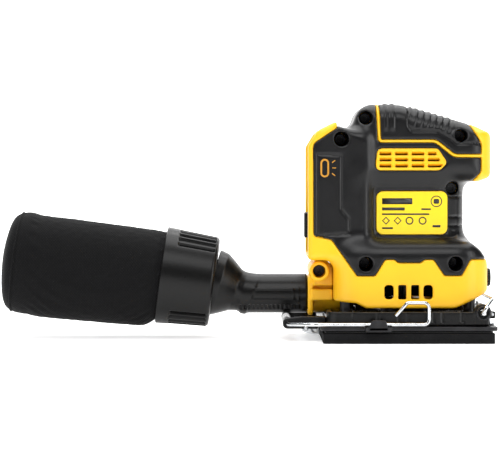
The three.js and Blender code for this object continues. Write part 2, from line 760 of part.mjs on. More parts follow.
function bag() {
  const funnelRoot = [-100.5, 0, OUTLET_Z];
  const funnel = (grow) =>
    turned(
      [
        [0, -3],
        [12.3 + grow, -3],
        [12.4 + grow, 3],
        [13.6 + grow, 7],
        [17.6 + grow, 13],
        [20.6 + grow, 18],
        [21.4 + grow, 24],
        [0, 24],
      ],
      funnelRoot,
      FUNNEL_AXIS,
      20,
    );
  const flange = turned(
    [
      [0, 1.6],
      [26.2, 1.6],
      [26.2, 4.6],
      [0, 4.6],
    ],
    BAG_ROOT,
    BAG_AXIS,
  );
  const behind = turned(
    [
      [0, 4.6],
      [40, 4.6],
      [40, 30],
      [0, 30],
    ],
    BAG_ROOT,
    BAG_AXIS,
  );
  const mouth = turned(
    [
      [0, -2],
      [19, -2],
      [19, 6],
      [0, 6],
    ],
    BAG_ROOT,
    BAG_AXIS,
    16,
  );
  const tube = rod("x", 0, OUTLET_Z, TUBE_R, -102.5, FLANGE_X - GAP, 12);
  const bore = rod("x", 0, OUTLET_Z, SPIGOT_R + GAP, -104, -50, 12);
  const neck = union(tube, funnel(0), flange)
    .subtract(behind)
    .subtract(bore)
    .subtract(funnel(-2))
    .subtract(mouth);
  add("bag_neck", largest(neck), BLACK_PLASTIC);

  const piece = (name, profile, material, sides) =>
    add(name, turned(profile, BAG_ROOT, BAG_AXIS, sides, sag), material);
  const collar = [
    [23.4, -0.5],
    [27.2, -0.5],
    [29, 1.8],
    [31, 33.5],
    [29, 33.5],
    [27, 4.8],
    [27, 1],
    [23.4, 1],
  ];
  piece("bag_collar", collar, BLACK_PLASTIC, 30);
  const frame = [
    [24, 5.4],
    [26.4, 5.4],
    [27, 16.5],
    [25.6, 16.5],
    [25.8, 31],
    [24, 31],
  ];
  piece("bag_mouth_frame", frame, BLACK_PLASTIC, 24);
  const fabric = [
    [26.2, 18],
    [27.2, 18],
    [28.4, 33],
    [28.8, 34.6],
    [29.6, 35.6],
    [30.3, 60],
    [30.8, 90],
    [31, 118],
    [30.4, 126],
    [27.4, 129.8],
    [20, 132.6],
    [0, 134.8],
    [0, 133.6],
    [20, 131.4],
    [26.8, 128.8],
    [29.3, 125.2],
    [29.8, 118],
    [29.6, 90],
    [29.1, 60],
    [28.4, 37],
    [27.4, 34.6],
  ];
  piece("dust_bag", fabric, FABRIC, 24);
  const hoop = [
    [26.6, 119],
    [28.6, 119],
    [28.6, 123],
    [26.6, 123],
  ];
  piece("bag_end_hoop", hoop, BLACK_PLASTIC, 20);
}

// ---------------------------------------------------------------- platen and pad
const platenPlan = (halfX, halfY, r) => [
  [-halfX, -halfY, r],
  [halfX, -halfY, r],
  [halfX, halfY, r],
  [-halfX, halfY, r],
];

function pad() {
  const foam = prism("z", platenPlan(PAD_LENGTH / 2, PAD_WIDTH / 2, 2), ...FOAM_Z);
  add("foam_pad", foam, FOAM);
  const backing = platenPlan(PAD_LENGTH / 2 - 1.2, PAD_WIDTH / 2 - 1.2, 2);
  add("pad_backing", prism("z", backing, ...BACKING_Z), BLACK_PLASTIC);

  let plate = prism("z", platenPlan(54.6, PAD_WIDTH / 2, 3), ...PLATE_Z);
  // upright tabs that the lever arms latch behind, near side and far side
  for (const side of [0, 1]) {
    const x = bothSides(10.8, 27.4)[side];
    const wall = [x[0] + 2.2, x[1] - 2.2];
    plate = plate
      .add(block(x, bothSides(56, 61.9)[side], PLATE_Z))
      .add(block(wall, bothSides(60.5, 61.9)[side], [PLATE_Z[0], 14.8]));
  }
  add("base_plate", plate, DARK_STEEL);
}

function platen() {
  const outline = platenPlan(50, 52, 9);
  const inside = platenPlan(47, 49, 7);
  let body = prism("z", outline, PLATEN_Z[0], SKIRT_TOP).subtract(
    prism("z", inside, PLATEN_Z[1], 60),
  );
  body = body.add(rod("z", 0, 0, 14.5, PLATEN_Z[0], 19.6, 12));
  for (const [x, y] of LEG_SPOTS)
    body = body
      .add(rod("z", x, y, 8.4, PLATEN_Z[0], 18.4, 8))
      .subtract(rod("z", x, y, 6.6, 12, 30, 8));
  // corner bosses of the front lever, and front lugs of the front jaw's pin
  const [px, pz] = FRONT_PIVOT;
  const [jx, jz] = FRONT_JAW_PIVOT;
  for (const side of [0, 1]) {
    const bossY = bothSides(...CORNER_BOSS_Y)[side];
    const lugY = bothSides(...LUG_Y)[side];
    body = body
      .add(rod("y", px, pz, 5.4, ...bossY, 8))
      .add(block([px - 5, px + 3.6], bossY, [PLATEN_Z[0], pz]))
      .subtract(rod("y", px, pz, 1.9, ...bothSides(44, 60)[side], 6))
      .add(block([49, jx + 2.2], lugY, [jz - 2.6, jz + 1.9]))
      .subtract(rod("y", jx, jz, 1 + GAP, ...bothSides(30, 50)[side], 6));
  }
  body = body
    .subtract(rod("z", 0, 0, BEARING_R + GAP, PAD_BEARING_Z[0] - GAP, 40, 16))
    .subtract(block([-60, -40], [-20, 20], [14.2, 40])); // room for the dust outlet
  add("platen_body", body, BLACK_PLASTIC);
  add("pad_bearing", ring(BEARING_R, 3 + GAP, PAD_BEARING_Z, 16), STEEL);
}

function legs() {
  LEG_SPOTS.forEach(([x, y], i) => {
    const leg = turned(
      [
        [0, 12.6],
        [5, 12.6],
        [5, 17],
        [3.8, 20],
        [3.8, 25],
        [5, 28],
        [5, 37.6],
        [0, 37.6],
      ],
      [x + MOTOR_X, y, 0],
      [0, 0, 1],
      8,
    );
    add(`rubber_leg_${i + 1}`, leg, RUBBER);
  });
}

// ---------------------------------------------------------------- paper clamps
// Corners of a lever's finger loop on the near side; the far lever's is this one turned by 180
// degrees about Z.
const LOOP = [
  [-8.7, -ARM_Y, 17.1],
  [-1.4, -ARM_Y, 25.5, 2.6],
  [12, -ARM_Y, 25.5, 3.4],
  [12, -ARM_Y, ARM_Z, 3.2],
];

function clamps() {
  const [rx, rz] = REAR_PIVOT;
  // rear lever: loop and arm on the near side, crossing at the back inside the bracket's eyes
  const rearRoute = [...LOOP, [-58, -ARM_Y, ARM_Z, 14], [rx, -40, rz, 9], [rx, 37.5, rz]];
  const rear = wire(bentWire(rearRoute), WIRE_R);
  add("rear_clamp_lever", rear, STEEL);
  const roller = turned(
    [
      [WIRE_R + GAP, -28.6],
      [3, -28.6],
      [3, 28.6],
      [WIRE_R + GAP, 28.6],
    ],
    [rx, 0, rz],
    [0, 1, 0],
    12,
  );
  add("rear_clamp_roller", roller, RUBBER);

  // bracket: a cross plate on the base plate's rear edge, with two ears
  const top = PLATE_Z[1] + GAP;
  const earOutline = [
    [rx - 3.1, rz - 3.1, 3],
    [-55.6, rz - 3.1, 0.5],
    [-55.6, top, 0.3],
    [-50.4, top],
    [-50.4, 15.6, 1],
    [-66, 15.6, 3],
    [rx - 3.1, rz + 3.1, 3],
  ];
  const ears = bothSides(...EAR_Y).map((y) => prism("y", earOutline, ...y));
  const crossPlate = block([-55.4, -50.4], [-EAR_Y[0] - 3, EAR_Y[0] + 3], [top, 14]);
  const bracket = union(...ears, crossPlate)
    .subtract(rod("y", rx, rz, WIRE_R + GAP, -FAR, FAR, 5))
    .subtract(rod("y", ...REAR_JAW_PIVOT, 1.2 + GAP, -FAR, FAR, 5));
  add("rear_clamp_bracket", bracket, BLACK_PLASTIC);
  const pinEnd = EAR_Y[1] + 2;
  add("rear_jaw_pin", rod("y", ...REAR_JAW_PIVOT, 1.2, -pinEnd, pinEnd, 5), STEEL);
  const [jx, jz] = REAR_JAW_PIVOT;
  const rearJaw = prism(
    "y",
    [
      [jx - 2.6, jz - 2.6, 2],
      [jx + 3.6, 4, 1],
      [-54.3, 4, 0.6],
      [-54.3, 7.2, 0.4],
      [-55.8, 7.2, 0.3],
      [-55.8, 5.6, 0.4],
      [jx + 4.6, 5.6, 1],
      [jx + 2.6, jz + 2.6, 2],
      [jx - 2.6, jz + 2.6, 2],
    ],
    -29,
    29,
  ).subtract(rod("y", jx, jz, 1.2 + GAP, -FAR, FAR, 5));
  add("rear_clamp_jaw", rearJaw, STEEL);

  // front lever: loop and arm on the far side, upright bow across the front
  const [fx, fz] = FRONT_PIVOT;
  const farLoop = LOOP.map(([x, y, z, r]) => [-x, -y, z, r]);
  const frontRoute = [
    ...farLoop,
    [36, ARM_Y, ARM_Z, 4],
    [fx - 1, ARM_Y, fz + 1, 3],
    [BOW[0], 50, BOW[1], 5],
    [BOW[0], -50, BOW[1], 5],
    [fx + 1.5, -ARM_Y, fz + 4, 3],
    [fx, -ARM_Y, fz],
  ];
  const front = wire(bentWire(frontRoute), WIRE_R)
    .add(rod("y", fx, fz, WIRE_R + 0.4, ARM_Y - 11, ARM_Y + 0.8, 4))
    .add(rod("y", fx, fz, WIRE_R + 0.4, -ARM_Y - 0.8, -ARM_Y + 11, 4));
  add("front_clamp_lever", front, STEEL);
  const [qx, qz] = FRONT_JAW_PIVOT;
  const web = [qx - 1.6, qx - 0.4];
  const frontJaw = union(
    block([web[0], 54.2], [-40, 40], [PLATE_Z[1] + GAP, PLATE_Z[1] + 1.5]),
    block(web, [-40, 40], [PLATE_Z[1] + GAP, qz + 4]),
    rod("y", qx, qz, 2, -40, 40, 8),
  ).subtract(rod("y", qx, qz, 1 + GAP, -FAR, FAR, 6));
  add("front_clamp_jaw", frontJaw, STEEL);
  add("front_jaw_pin", rod("y", qx, qz, 1, -45.6, 45.6, 6), STEEL);

  // coil springs round the front lever's near end and beside the rear jaw
  const coil = (x, z, low, high, radius, turns) => {
    const points = [];
    const count = turns * 8;
    for (let i = 0; i <= count; i += 1) {
      const angle = (i / 8) * Math.PI * 2;
      const along = low + ((high - low) * i) / count;
      points.push(
        new THREE.Vector3(x + radius * Math.cos(angle), along, z + radius * Math.sin(angle)),
      );
    }
    return wire(points, 0.45, 5);
  };
  add("front_clamp_spring", coil(fx, fz, -56.8, -54.2, 3.9, 2.5), STEEL);
  add("rear_clamp_spring", coil(jx, jz, 39.2, 43, 2.4, 2.5), STEEL);
}

shells();
dustOutlet();
batteryReceiver();
rubberSkins();
ventGrilles();
labelPlate();
screws();
motor();
electrics();
controls();
dustDuct();
bag();
pad();
platen();
legs();
clamps();

export default sander;
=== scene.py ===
"""Cordless orbital sander with a tilted dust bag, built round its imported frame."""

import math

import bpy
import numpy as np
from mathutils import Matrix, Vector


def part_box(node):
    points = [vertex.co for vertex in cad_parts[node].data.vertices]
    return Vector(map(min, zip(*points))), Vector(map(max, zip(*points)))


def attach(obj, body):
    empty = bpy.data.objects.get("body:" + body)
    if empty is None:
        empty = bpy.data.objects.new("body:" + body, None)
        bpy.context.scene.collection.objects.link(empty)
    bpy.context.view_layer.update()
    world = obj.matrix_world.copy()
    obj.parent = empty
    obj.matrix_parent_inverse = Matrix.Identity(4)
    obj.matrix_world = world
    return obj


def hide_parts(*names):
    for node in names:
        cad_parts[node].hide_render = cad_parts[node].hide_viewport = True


bl_info = {
    "name": "Orbital Sander",
    "version": (1, 0, 0),
    "blender": (4, 5, 0),
    "location": "View3D > Sidebar > Sander",
    "description": "Builds a palm-grip orbital sander round its packed frame",
    "category": "Object",
}

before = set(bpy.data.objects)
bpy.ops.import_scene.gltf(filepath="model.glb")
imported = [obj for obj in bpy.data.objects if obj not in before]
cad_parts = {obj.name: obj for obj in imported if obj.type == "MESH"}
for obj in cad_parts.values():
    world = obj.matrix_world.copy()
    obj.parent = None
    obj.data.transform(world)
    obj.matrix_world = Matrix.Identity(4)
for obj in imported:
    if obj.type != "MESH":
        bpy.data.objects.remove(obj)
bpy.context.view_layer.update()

MM = 0.001


def box_of(node):
    """A node's lowest and highest corners, in millimetres."""
    low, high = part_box(node)
    return np.array(low) / MM, np.array(high) / MM


def low_of(node):
    return box_of(node)[0]


def high_of(node):
    return box_of(node)[1]


def middle_of(node):
    return (low_of(node) + high_of(node)) / 2


# ------------------------------------------------------------------ sizes, in millimetres
HEAD_HALF = high_of("left_vent_grille")[1]
LOWER_HALF = high_of("left_housing_shell")[1]
FOOT_HALF = 37.0
WAIST_HALF = -low_of("rating_plate")[1] - 0.2
NOSE_X = high_of("power_button")[0] + 0.8
FACE_X = low_of("right_housing_shell")[0]
BODY_TOP = high_of("grip_overmould")[2]
LOWER_FRONT_X = high_of("speed_dial")[0] - 2.4
BAY_FLOOR_X = -56.0
WALL = 3.2
HEAD_DEPTH = 14.2  # distance of the screw heads' seats from the middle plane
SKIN = 1.5
DUCT_Z = middle_of("dust_duct")[2]
DUCT_R = (high_of("dust_duct")[1] - low_of("dust_duct")[1]) / 2
TUBE_R = 12.5
DIAL_Z = middle_of("speed_dial")[2]
BAG_TILT = math.radians(8)
BAG_AXIS = Vector((-math.cos(BAG_TILT), 0, math.sin(BAG_TILT)))
BAG_ROOT = Vector((-121.4, 0, 35.4))
SAG_FROM_X = -158.0
SAG_SLOPE = 0.03
WIRE_R = 1.1
ARM_Y = 58.8
ARM_Z = 12.0
REAR_PIVOT = (-74.5, 10.9)
FRONT_PIVOT = (45.6, 18.9)
BOW = (51.8, 27.3)
REAR_JAW_PIVOT = (-63.0, 8.4)
FRONT_JAW_PIVOT = (52.2, 17.4)
LEG_SPOTS = [(-37.8, -33), (-37.8, 33), (39.2, -31), (39.2, 31)]
OUTLET_FACE_X = -61.3
MOTOR_X = -0.8  # the motor's axis at rest, one crank behind the pad's
SLEEVE = 1.0  # wall of the rubber sleeve in each screw's well
GAP = 0.3
CELL = 0.8  # grid step of the moulded pieces

# Outlines seen from the side, as (x, z, corner radius), counter-clockwise.
HEAD_OUTLINE = [
    (-33, 99.6, 5),
    (45.5, 99.8, 9),
    (NOSE_X, 103.6, 8),
    (NOSE_X, 129, 8),
    (42, 135.2, 24),
    (-4, 148.3, 45),
    (-31, 148.3, 13),
    (-34.4, 128, 6),
]
FOOT_OUTLINE = [
    (FACE_X, 50.6, 2.5),
    (-24, 50.6, 3),
    (-24, 128, 6),
    (-33.8, 131.6, 2),
    (-42.9, 134.6, 0.8),
    (-44.4, 137.3, 1.2),
    (-56, 131.6, 8),
    (FACE_X, 122, 4),
]
LOWER_OUTLINE = [
    (-46, 25, 1),
    (-32, 24.2, 2),
    (-26, 21, 2),
    (29.3, 21, 4),
    (LOWER_FRONT_X, 31.6, 3),
    (LOWER_FRONT_X, 47, 6),
    (46, 57, 8),
    (37.7, 64, 6),
    (-40, 64, 6),
    (-46, 52, 2),
]
# Plans, as (x, y, corner radius).
HEAD_PLAN = [
    (-44, -HEAD_HALF, 5),
    (NOSE_X - 3.5, -HEAD_HALF, 18),
    (NOSE_X, 0, 90),
    (NOSE_X - 3.5, HEAD_HALF, 18),
    (-44, HEAD_HALF, 5),
]
WAIST_PLAN = [
    (-32, -WAIST_HALF, 5),
    (37.4, -WAIST_HALF, 24),
    (37.4, WAIST_HALF, 24),
    (-32, WAIST_HALF, 5),
]
LOWER_PLAN = [
    (-46, -LOWER_HALF, 18),
    (LOWER_FRONT_X - 3.6, -LOWER_HALF, 20),
    (LOWER_FRONT_X, 0, 120),
    (LOWER_FRONT_X - 3.6, LOWER_HALF, 20),
    (-46, LOWER_HALF, 18),
]
RUBBER_OUTLINE = [
    (-58.6, 65.5, 3),
    (-47.2, 63.4, 3),
    (-31.6, 41, 1.2),
    (-20.3, 41, 1.2),
    (-14, 51.2, 1.2),
    (-8.6, 51.2, 1),
    (-6, 49.2, 1),
    (7.9, 49.2, 1),
    (10.4, 51.2, 1),
    (15.8, 51.2, 1.2),
    (22.6, 41.2, 1.2),
    (33.4, 41.2, 1.2),
    (39, 51.2, 1.6),
    (80, 51.2),
    (80, 80),
    (40.2, 80),
    (40.2, 98.6, 2),
    (46.8, 106, 4),
    (47, 123.5, 5),
    (38.5, 137, 5),
    (38, 170),
    (-42.4, 170),
    (-43.6, 133.6, 1),
    (-58.8, 123.4, 5),
]
GRIP_OUTLINE = [
    (-17.2, 125.1, 1.6),
    (18, 125.1, 7),
    (29.6, 115.9, 7),
    (80, 115.9),
    (80, 170),
    (-19.4, 170),
]
STRIPE_HALF = 0.85
VENT_OUTLINE = [
    (-19.4, 106.8, 3.6),
    (20.8, 106.8, 4.5),
    (25.2, 111.6, 2.5),
    (19.4, 120.5, 3.4),
    (-18.4, 120.5, 3.4),
    (-19.4, 112.5, 6),
]
LABEL_X = (-18.8, 25.5)
LABEL_Z = (66.8, 93.6)
# Side screws as (x, z, radius of the recess).
SCREWS = [
    (-41, 126.3, 4.6),
    (-25.6, 139.6, 4.2),
    (33.8, 128.5, 4.0),
    (28.9, 95.6, 4.0),
    (-26, 48.5, 4.4),
    (29.6, 48.8, 4.4),
    (-54.5, 43.4, 4.0),
]
EXHAUST_X = (-11.7, -3.5, 4.5, 12.6)
EXHAUST_Z = (26.7, 35.6)


# ------------------------------------------------------------------ outlines
def rounded(corners, step=math.radians(9)):
    """Points round an outline of (u, v, radius) corners, its rounded corners as arcs."""
    points = []
    count = len(corners)
    for i, corner in enumerate(corners):
        at = np.array(corner[:2], float)
        radius = corner[2] if len(corner) > 2 else 0
        if not radius:
            points.append(at)
            continue
        before = np.array(corners[i - 1][:2], float) - at
        after = np.array(corners[(i + 1) % count][:2], float) - at
        lengths = np.linalg.norm(before), np.linalg.norm(after)
        before, after = before / lengths[0], after / lengths[1]
        half = math.acos(max(-1, min(1, before @ after))) / 2
        radius = min(radius, 0.49 * min(lengths) * math.tan(half))
        bisector = (before + after) / np.linalg.norm(before + after)
        centre = at + bisector * radius / math.sin(half)
        start = at + before * radius / math.tan(half) - centre
        end = at + after * radius / math.tan(half) - centre
        sweep = math.atan2(start[0] * end[1] - start[1] * end[0], start @ end)
        steps = max(2, math.ceil(abs(sweep) / step))
        for k in range(steps + 1):
            angle = sweep * k / steps
            c, s = math.cos(angle), math.sin(angle)
            points.append(centre + (c * start[0] - s * start[1], s * start[0] + c * start[1]))
    return np.array(points)


def circle(u, v, radius, sides=32):
    angles = np.arange(sides) * 2 * math.pi / sides
    return np.stack([u + radius * np.cos(angles), v + radius * np.sin(angles)], 1)


def rectangle(u, v, radius=0.0):
    """Corners of a rectangle over the ranges u and v."""
    return [(u[0], v[0], radius), (u[1], v[0], radius), (u[1], v[1], radius), (u[0], v[1], radius)]


# ------------------------------------------------------------------ distance fields
# A moulded piece is a field of distances on a grid, negative inside, in millimetres.
def outline_distance(corners, u, v):
    """Distance to an outline in a plane, for arrays of its two coordinates."""
    points = rounded(corners) if len(corners[0]) > 2 or len(corners[1]) > 2 else np.array(corners)
    nearest = np.full(np.broadcast(u, v).shape, 1e9)
    inside = np.zeros(nearest.shape, bool)
    for a, b in zip(points, np.roll(points, -1, 0)):
        edge = b - a
        along = ((u - a[0]) * edge[0] + (v - a[1]) * edge[1]) / max(edge @ edge, 1e-12)
        along = np.clip(along, 0, 1)
        gap = (u - a[0] - along * edge[0]) ** 2 + (v - a[1] - along * edge[1]) ** 2
        nearest = np.minimum(nearest, gap)
        if a[1] != b[1]:
            crosses = (a[1] > v) != (b[1] > v)
            inside ^= crosses & (u < a[0] + (v - a[1]) * edge[0] / edge[1])
    return np.where(inside, -1, 1) * np.sqrt(nearest)


def blend_min(a, b, width):
    """Union of two fields with a fillet."""
    share = np.maximum(width - np.abs(a - b), 0) / width
    return np.minimum(a, b) - share * share * width / 4


def blend_max(a, b, width):
    """Overlap of two fields with a rounded edge."""
    return -blend_min(-a, -b, width)


def slab(flat, across, edge):
    """A field that a flat outline sweeps, its edges rounded by `edge`."""
    a, b = flat + edge, across + edge
    return np.minimum(np.maximum(a, b), 0) + np.hypot(np.maximum(a, 0), np.maximum(b, 0)) - edge


def box_distance(x, y, z, low, high, edge=0.0):
    """A box between two corners."""
    gaps = [
        np.maximum(lo - axis, axis - hi) + edge
        for axis, lo, hi in zip((x, y, z), low, high)
    ]
    outside = np.sqrt(sum(np.maximum(g, 0) ** 2 for g in gaps))
    deepest = np.maximum(np.maximum(gaps[0], gaps[1]), gaps[2])
    return np.minimum(deepest, 0) + outside - edge


def step_up(value, low, high):
    """0 below low, 1 above high, smooth between."""
    t = np.clip((value - low) / (high - low), 0, 1)
    return t * t * (3 - 2 * t)


class Grid:
    """Sample points of a box, in millimetres."""

    def __init__(self, low, high, cell):
        self.low = np.array(low, float)
        self.cell = cell
        counts = [int(math.ceil((h - l) / cell)) + 1 for l, h in zip(low, high)]
        axes = [l + cell * np.arange(n) for l, n in zip(low, counts)]
        self.x = axes[0].reshape(-1, 1, 1)
        self.y = axes[1].reshape(1, -1, 1)
        self.z = axes[2].reshape(1, 1, -1)
        self.shape = tuple(counts)

    def sample(self, field, points):
        """The field between grid points."""
        place = (points - self.low) / self.cell
        base = np.clip(np.floor(place).astype(int), 0, np.array(self.shape) - 2)
        t = place - base
        total = np.zeros(len(points))
        for i in (0, 1):
            for j in (0, 1):
                for k in (0, 1):
                    share = (
                        (t[:, 0] if i else 1 - t[:, 0])
                        * (t[:, 1] if j else 1 - t[:, 1])
                        * (t[:, 2] if k else 1 - t[:, 2])
                    )
                    total += share * field[base[:, 0] + i, base[:, 1] + j, base[:, 2] + k]
        return total

    def surface(self, field):
        """Vertices and quads where the field is zero: one vertex in each cell that it crosses."""
        field = np.broadcast_to(field, self.shape)
        inside = field < 0
        n = [s - 1 for s in self.shape]
        corners = [(i, j, k) for i in (0, 1) for j in (0, 1) for k in (0, 1)]

        def part(values, c):
            return values[c[0] : c[0] + n[0], c[1] : c[1] + n[1], c[2] : c[2] + n[2]]

        count = sum(part(inside, c).astype(np.int8) for c in corners)
        cells = np.argwhere((count > 0) & (count < 8))
        values = {c: field[tuple((cells + c).T)] for c in corners}
        total = np.zeros((len(cells), 3))
        hits = np.zeros(len(cells))
        for c in corners:
            for axis in range(3):
                if c[axis]:
                    continue
                d = tuple(1 if a == axis else v for a, v in enumerate(c))
                a, b = values[c], values[d]
                crosses = (a < 0) != (b < 0)
                t = np.where(crosses, a / np.where(crosses, a - b, 1), 0)
                point = np.array(c, float) + np.zeros((len(cells), 3))
                point[:, axis] += t
                total += np.where(crosses[:, None], point, 0)
                hits += crosses
        points = self.low + self.cell * (cells + total / hits[:, None])
        for _ in range(3):
            points = self.settle(field, points)
        index = np.full(n, -1)
        index[tuple(cells.T)] = np.arange(len(cells))
        return points, self.quads(inside, index)

    def settle(self, field, points):
        """Moves points onto the zero surface, by at most a third of a cell."""
        h = self.cell * 0.5
        value = self.sample(field, points)
        slope = np.stack(
            [
                self.sample(field, points + h * np.eye(3)[a])
                - self.sample(field, points - h * np.eye(3)[a])
                for a in range(3)
            ],
            1,
        ) / (2 * h)
        size = np.maximum((slope**2).sum(1), 0.2)
        move = -slope * (value / size)[:, None]
        length = np.linalg.norm(move, axis=1)
        return points + move * np.minimum(1, self.cell / 3 / np.maximum(length, 1e-9))[:, None]

    def quads(self, inside, index):
        made = []
        for axis in range(3):
            b, c = (axis + 1) % 3, (axis + 2) % 3
            here = [slice(None)] * 3
            there = [slice(None)] * 3
            here[axis] = slice(0, -1)
            there[axis] = slice(1, None)
            here[b] = here[c] = there[b] = there[c] = slice(1, -1)
            start, end = inside[tuple(here)], inside[tuple(there)]
            for flip, found in ((False, start & ~end), (True, ~start & end)):
                at = np.argwhere(found)
                at[:, b] += 1
                at[:, c] += 1
                corners = []
                for db, dc in ((-1, -1), (0, -1), (0, 0), (-1, 0)):
                    cell = at.copy()
                    cell[:, b] += db
                    cell[:, c] += dc
                    corners.append(index[tuple(cell.T)])
                quad = np.stack(corners, 1)
                made.append(quad[:, ::-1] if flip else quad)
        return np.concatenate(made)


# ------------------------------------------------------------------ meshes
def loft(rings, closed=False, caps=True):
    """Points and faces through rings of equal length."""
    count = len(rings[0])
    points = np.concatenate(rings)
    faces = []
    last = len(rings) if closed else len(rings) - 1
    for k in range(last):
        a, b = k * count, (k + 1) % len(rings) * count
        for i in range(count):
            j = (i + 1) % count
            faces.append((a + i, a + j, b + j, b + i))
    if caps and not closed:
        faces.append(tuple(range(count - 1, -1, -1)))
        faces.append(tuple(range(len(points) - count, len(points))))
    return points, faces


def inset(points, amount):
    """An outline's points moved inwards along their normals."""
    before = points - np.roll(points, 1, 0)
    after = np.roll(points, -1, 0) - points
    normals = []
    for edge in (before, after):
        edge = edge / np.maximum(np.linalg.norm(edge, axis=1), 1e-9)[:, None]
        normals.append(np.stack([-edge[:, 1], edge[:, 0]], 1))
    mitre = normals[0] + normals[1]
    mitre /= np.maximum((mitre * normals[0]).sum(1), 0.35)[:, None]
    return points + mitre * amount


def plate(corners, low, high, edge=0.0, axis="z", steps=3):
    """Points and faces of a plate over an outline, its edges rounded by `edge`."""
    outline = rounded(corners) if len(corners[0]) > 2 else np.array(corners, float)
    levels = [(0.0, 0.0)]
    if edge:
        angles = np.linspace(0, math.pi / 2, steps + 1)
        levels = [(edge * (1 - math.sin(a)), edge * (1 - math.cos(a))) for a in angles]
    stack = [(i, low + r) for i, r in levels] + [(i, high - r) for i, r in reversed(levels)]
    rings = []
    for amount, height in stack:
        flat = inset(outline, amount) if amount else outline
        column = np.full(len(flat), height)
        order = {
            "z": (flat[:, 0], flat[:, 1], column),
            "y": (flat[:, 0], column, flat[:, 1]),
            "x": (column, flat[:, 0], flat[:, 1]),
        }[axis]
        rings.append(np.stack(order, 1))
    if axis == "y":
        rings.reverse()
    return loft(rings)


def joined(parts):
    """Several points-and-faces pairs as one."""
    points, faces, base = [], [], 0
    for some_points, some_faces in parts:
        points.append(some_points)
        faces += [tuple(base + i for i in face) for face in some_faces]
        base += len(some_points)
    return np.concatenate(points), faces


def basis(direction):
    """Two unit vectors across a direction, and the direction."""
    along = Vector(direction).normalized()
    helper = Vector((0, 1, 0)) if abs(along.y) < 0.9 else Vector((1, 0, 0))
    side = helper.cross(along).normalized()
    return np.array(side), np.array(along.cross(side)), np.array(along)


def turned(profile, root, direction, sides=64, closed=True, shape=None):
    """A body turned about an axis. The profile is (radius, distance along), and
    shape(angle, radius, distance) may change the radius."""
    side, up, along = basis(direction)
    angles = np.arange(sides) * 2 * math.pi / sides
    rings = []
    for radius, distance in profile:
        reach = np.full(sides, float(radius))
        if shape:
            reach = shape(angles, reach, distance)
        ring = (
            np.array(root)
            + np.outer(reach * np.cos(angles), side)
            + np.outer(reach * np.sin(angles), up)
            + along * distance
        )
        rings.append(ring)
    return loft(rings, closed=closed, caps=not closed)


def bend(corners, step=math.radians(12)):
    """Points of a wire that runs straight between (x, y, z, bend radius) corners."""
    points = [np.array(corners[0][:3], float)]
    for i in range(1, len(corners) - 1):
        at = np.array(corners[i][:3], float)
        into = np.array(corners[i - 1][:3], float) - at
        out = np.array(corners[i + 1][:3], float) - at
        into /= np.linalg.norm(into)
        out /= np.linalg.norm(out)
        half = math.acos(max(-1, min(1, into @ out))) / 2
        reach = corners[i][3] / math.tan(half)
        centre = at + (into + out) / np.linalg.norm(into + out) * corners[i][3] / math.sin(half)
        start, end = at + into * reach - centre, at + out * reach - centre
        total = math.pi - 2 * half
        steps = max(2, math.ceil(total / step))
        for k in range(steps + 1):
            t = k / steps
            mix = (math.sin((1 - t) * total) * start + math.sin(t * total) * end) / math.sin(total)
            points.append(centre + mix)
    points.append(np.array(corners[-1][:3], float))
    return np.array(points)


def tube(points, radius, sides=18, closed=False):
    """A round bar along points, its ends slightly rounded, or a closed loop."""
    points = np.asarray(points, float)
    if closed:
        tangents = np.roll(points, -1, 0) - np.roll(points, 1, 0)
    else:
        steps = np.diff(points, axis=0)
        steps /= np.linalg.norm(steps, axis=1)[:, None]
        tangents = np.concatenate([steps[:1], steps[1:] + steps[:-1], steps[-1:]])
    tangents /= np.linalg.norm(tangents, axis=1)[:, None]
    radii = np.full(len(points), radius)
    if not closed:
        ends = [(0.35, 0.0), (0.8, 0.12), (1.0, 0.4)]
        head = [points[0] + tangents[0] * radius * d for _, d in ends]
        tail = [points[-1] - tangents[-1] * radius * d for _, d in reversed(ends)]
        points = np.array(head + list(points[1:-1]) + tail)
        grow = [radius * r for r, _ in ends]
        radii = np.array(grow + list(radii[1:-1]) + grow[::-1])
        tangents = np.concatenate(
            [np.repeat(tangents[:1], 3, 0), tangents[1:-1], np.repeat(tangents[-1:], 3, 0)]
        )
    side = basis(tangents[0])[0]
    angles = np.arange(sides) * 2 * math.pi / sides
    rings = []
    for point, along, reach in zip(points, tangents, radii):
        side = side - along * (side @ along)
        side /= np.linalg.norm(side)
        up = np.cross(along, side)
        circle_points = np.outer(np.cos(angles), side) + np.outer(np.sin(angles), up)
        rings.append(point + reach * circle_points)
    return loft(rings, closed=closed, caps=not closed)


# ------------------------------------------------------------------ what a user may change
def linear(hex_colour):
    """A hex colour, which is sRGB, as the linear colour that the shaders take."""
    parts = [int(hex_colour[i : i + 2], 16) / 255 for i in (1, 3, 5)]
    return tuple(p / 12.92 if p <= 0.04045 else ((p + 0.055) / 1.055) ** 2.4 for p in parts)


def colour_property(name, description, hex_colour):
    return bpy.props.FloatVectorProperty(
        name=name,
        description=description,
        subtype="COLOR",
        size=3,
        min=0,
        max=1,
        default=linear(hex_colour),
    )


def length_property(name, description, millimetres):
    return bpy.props.FloatProperty(
        name=name, description=description, unit="LENGTH", default=millimetres * MM, min=0
    )


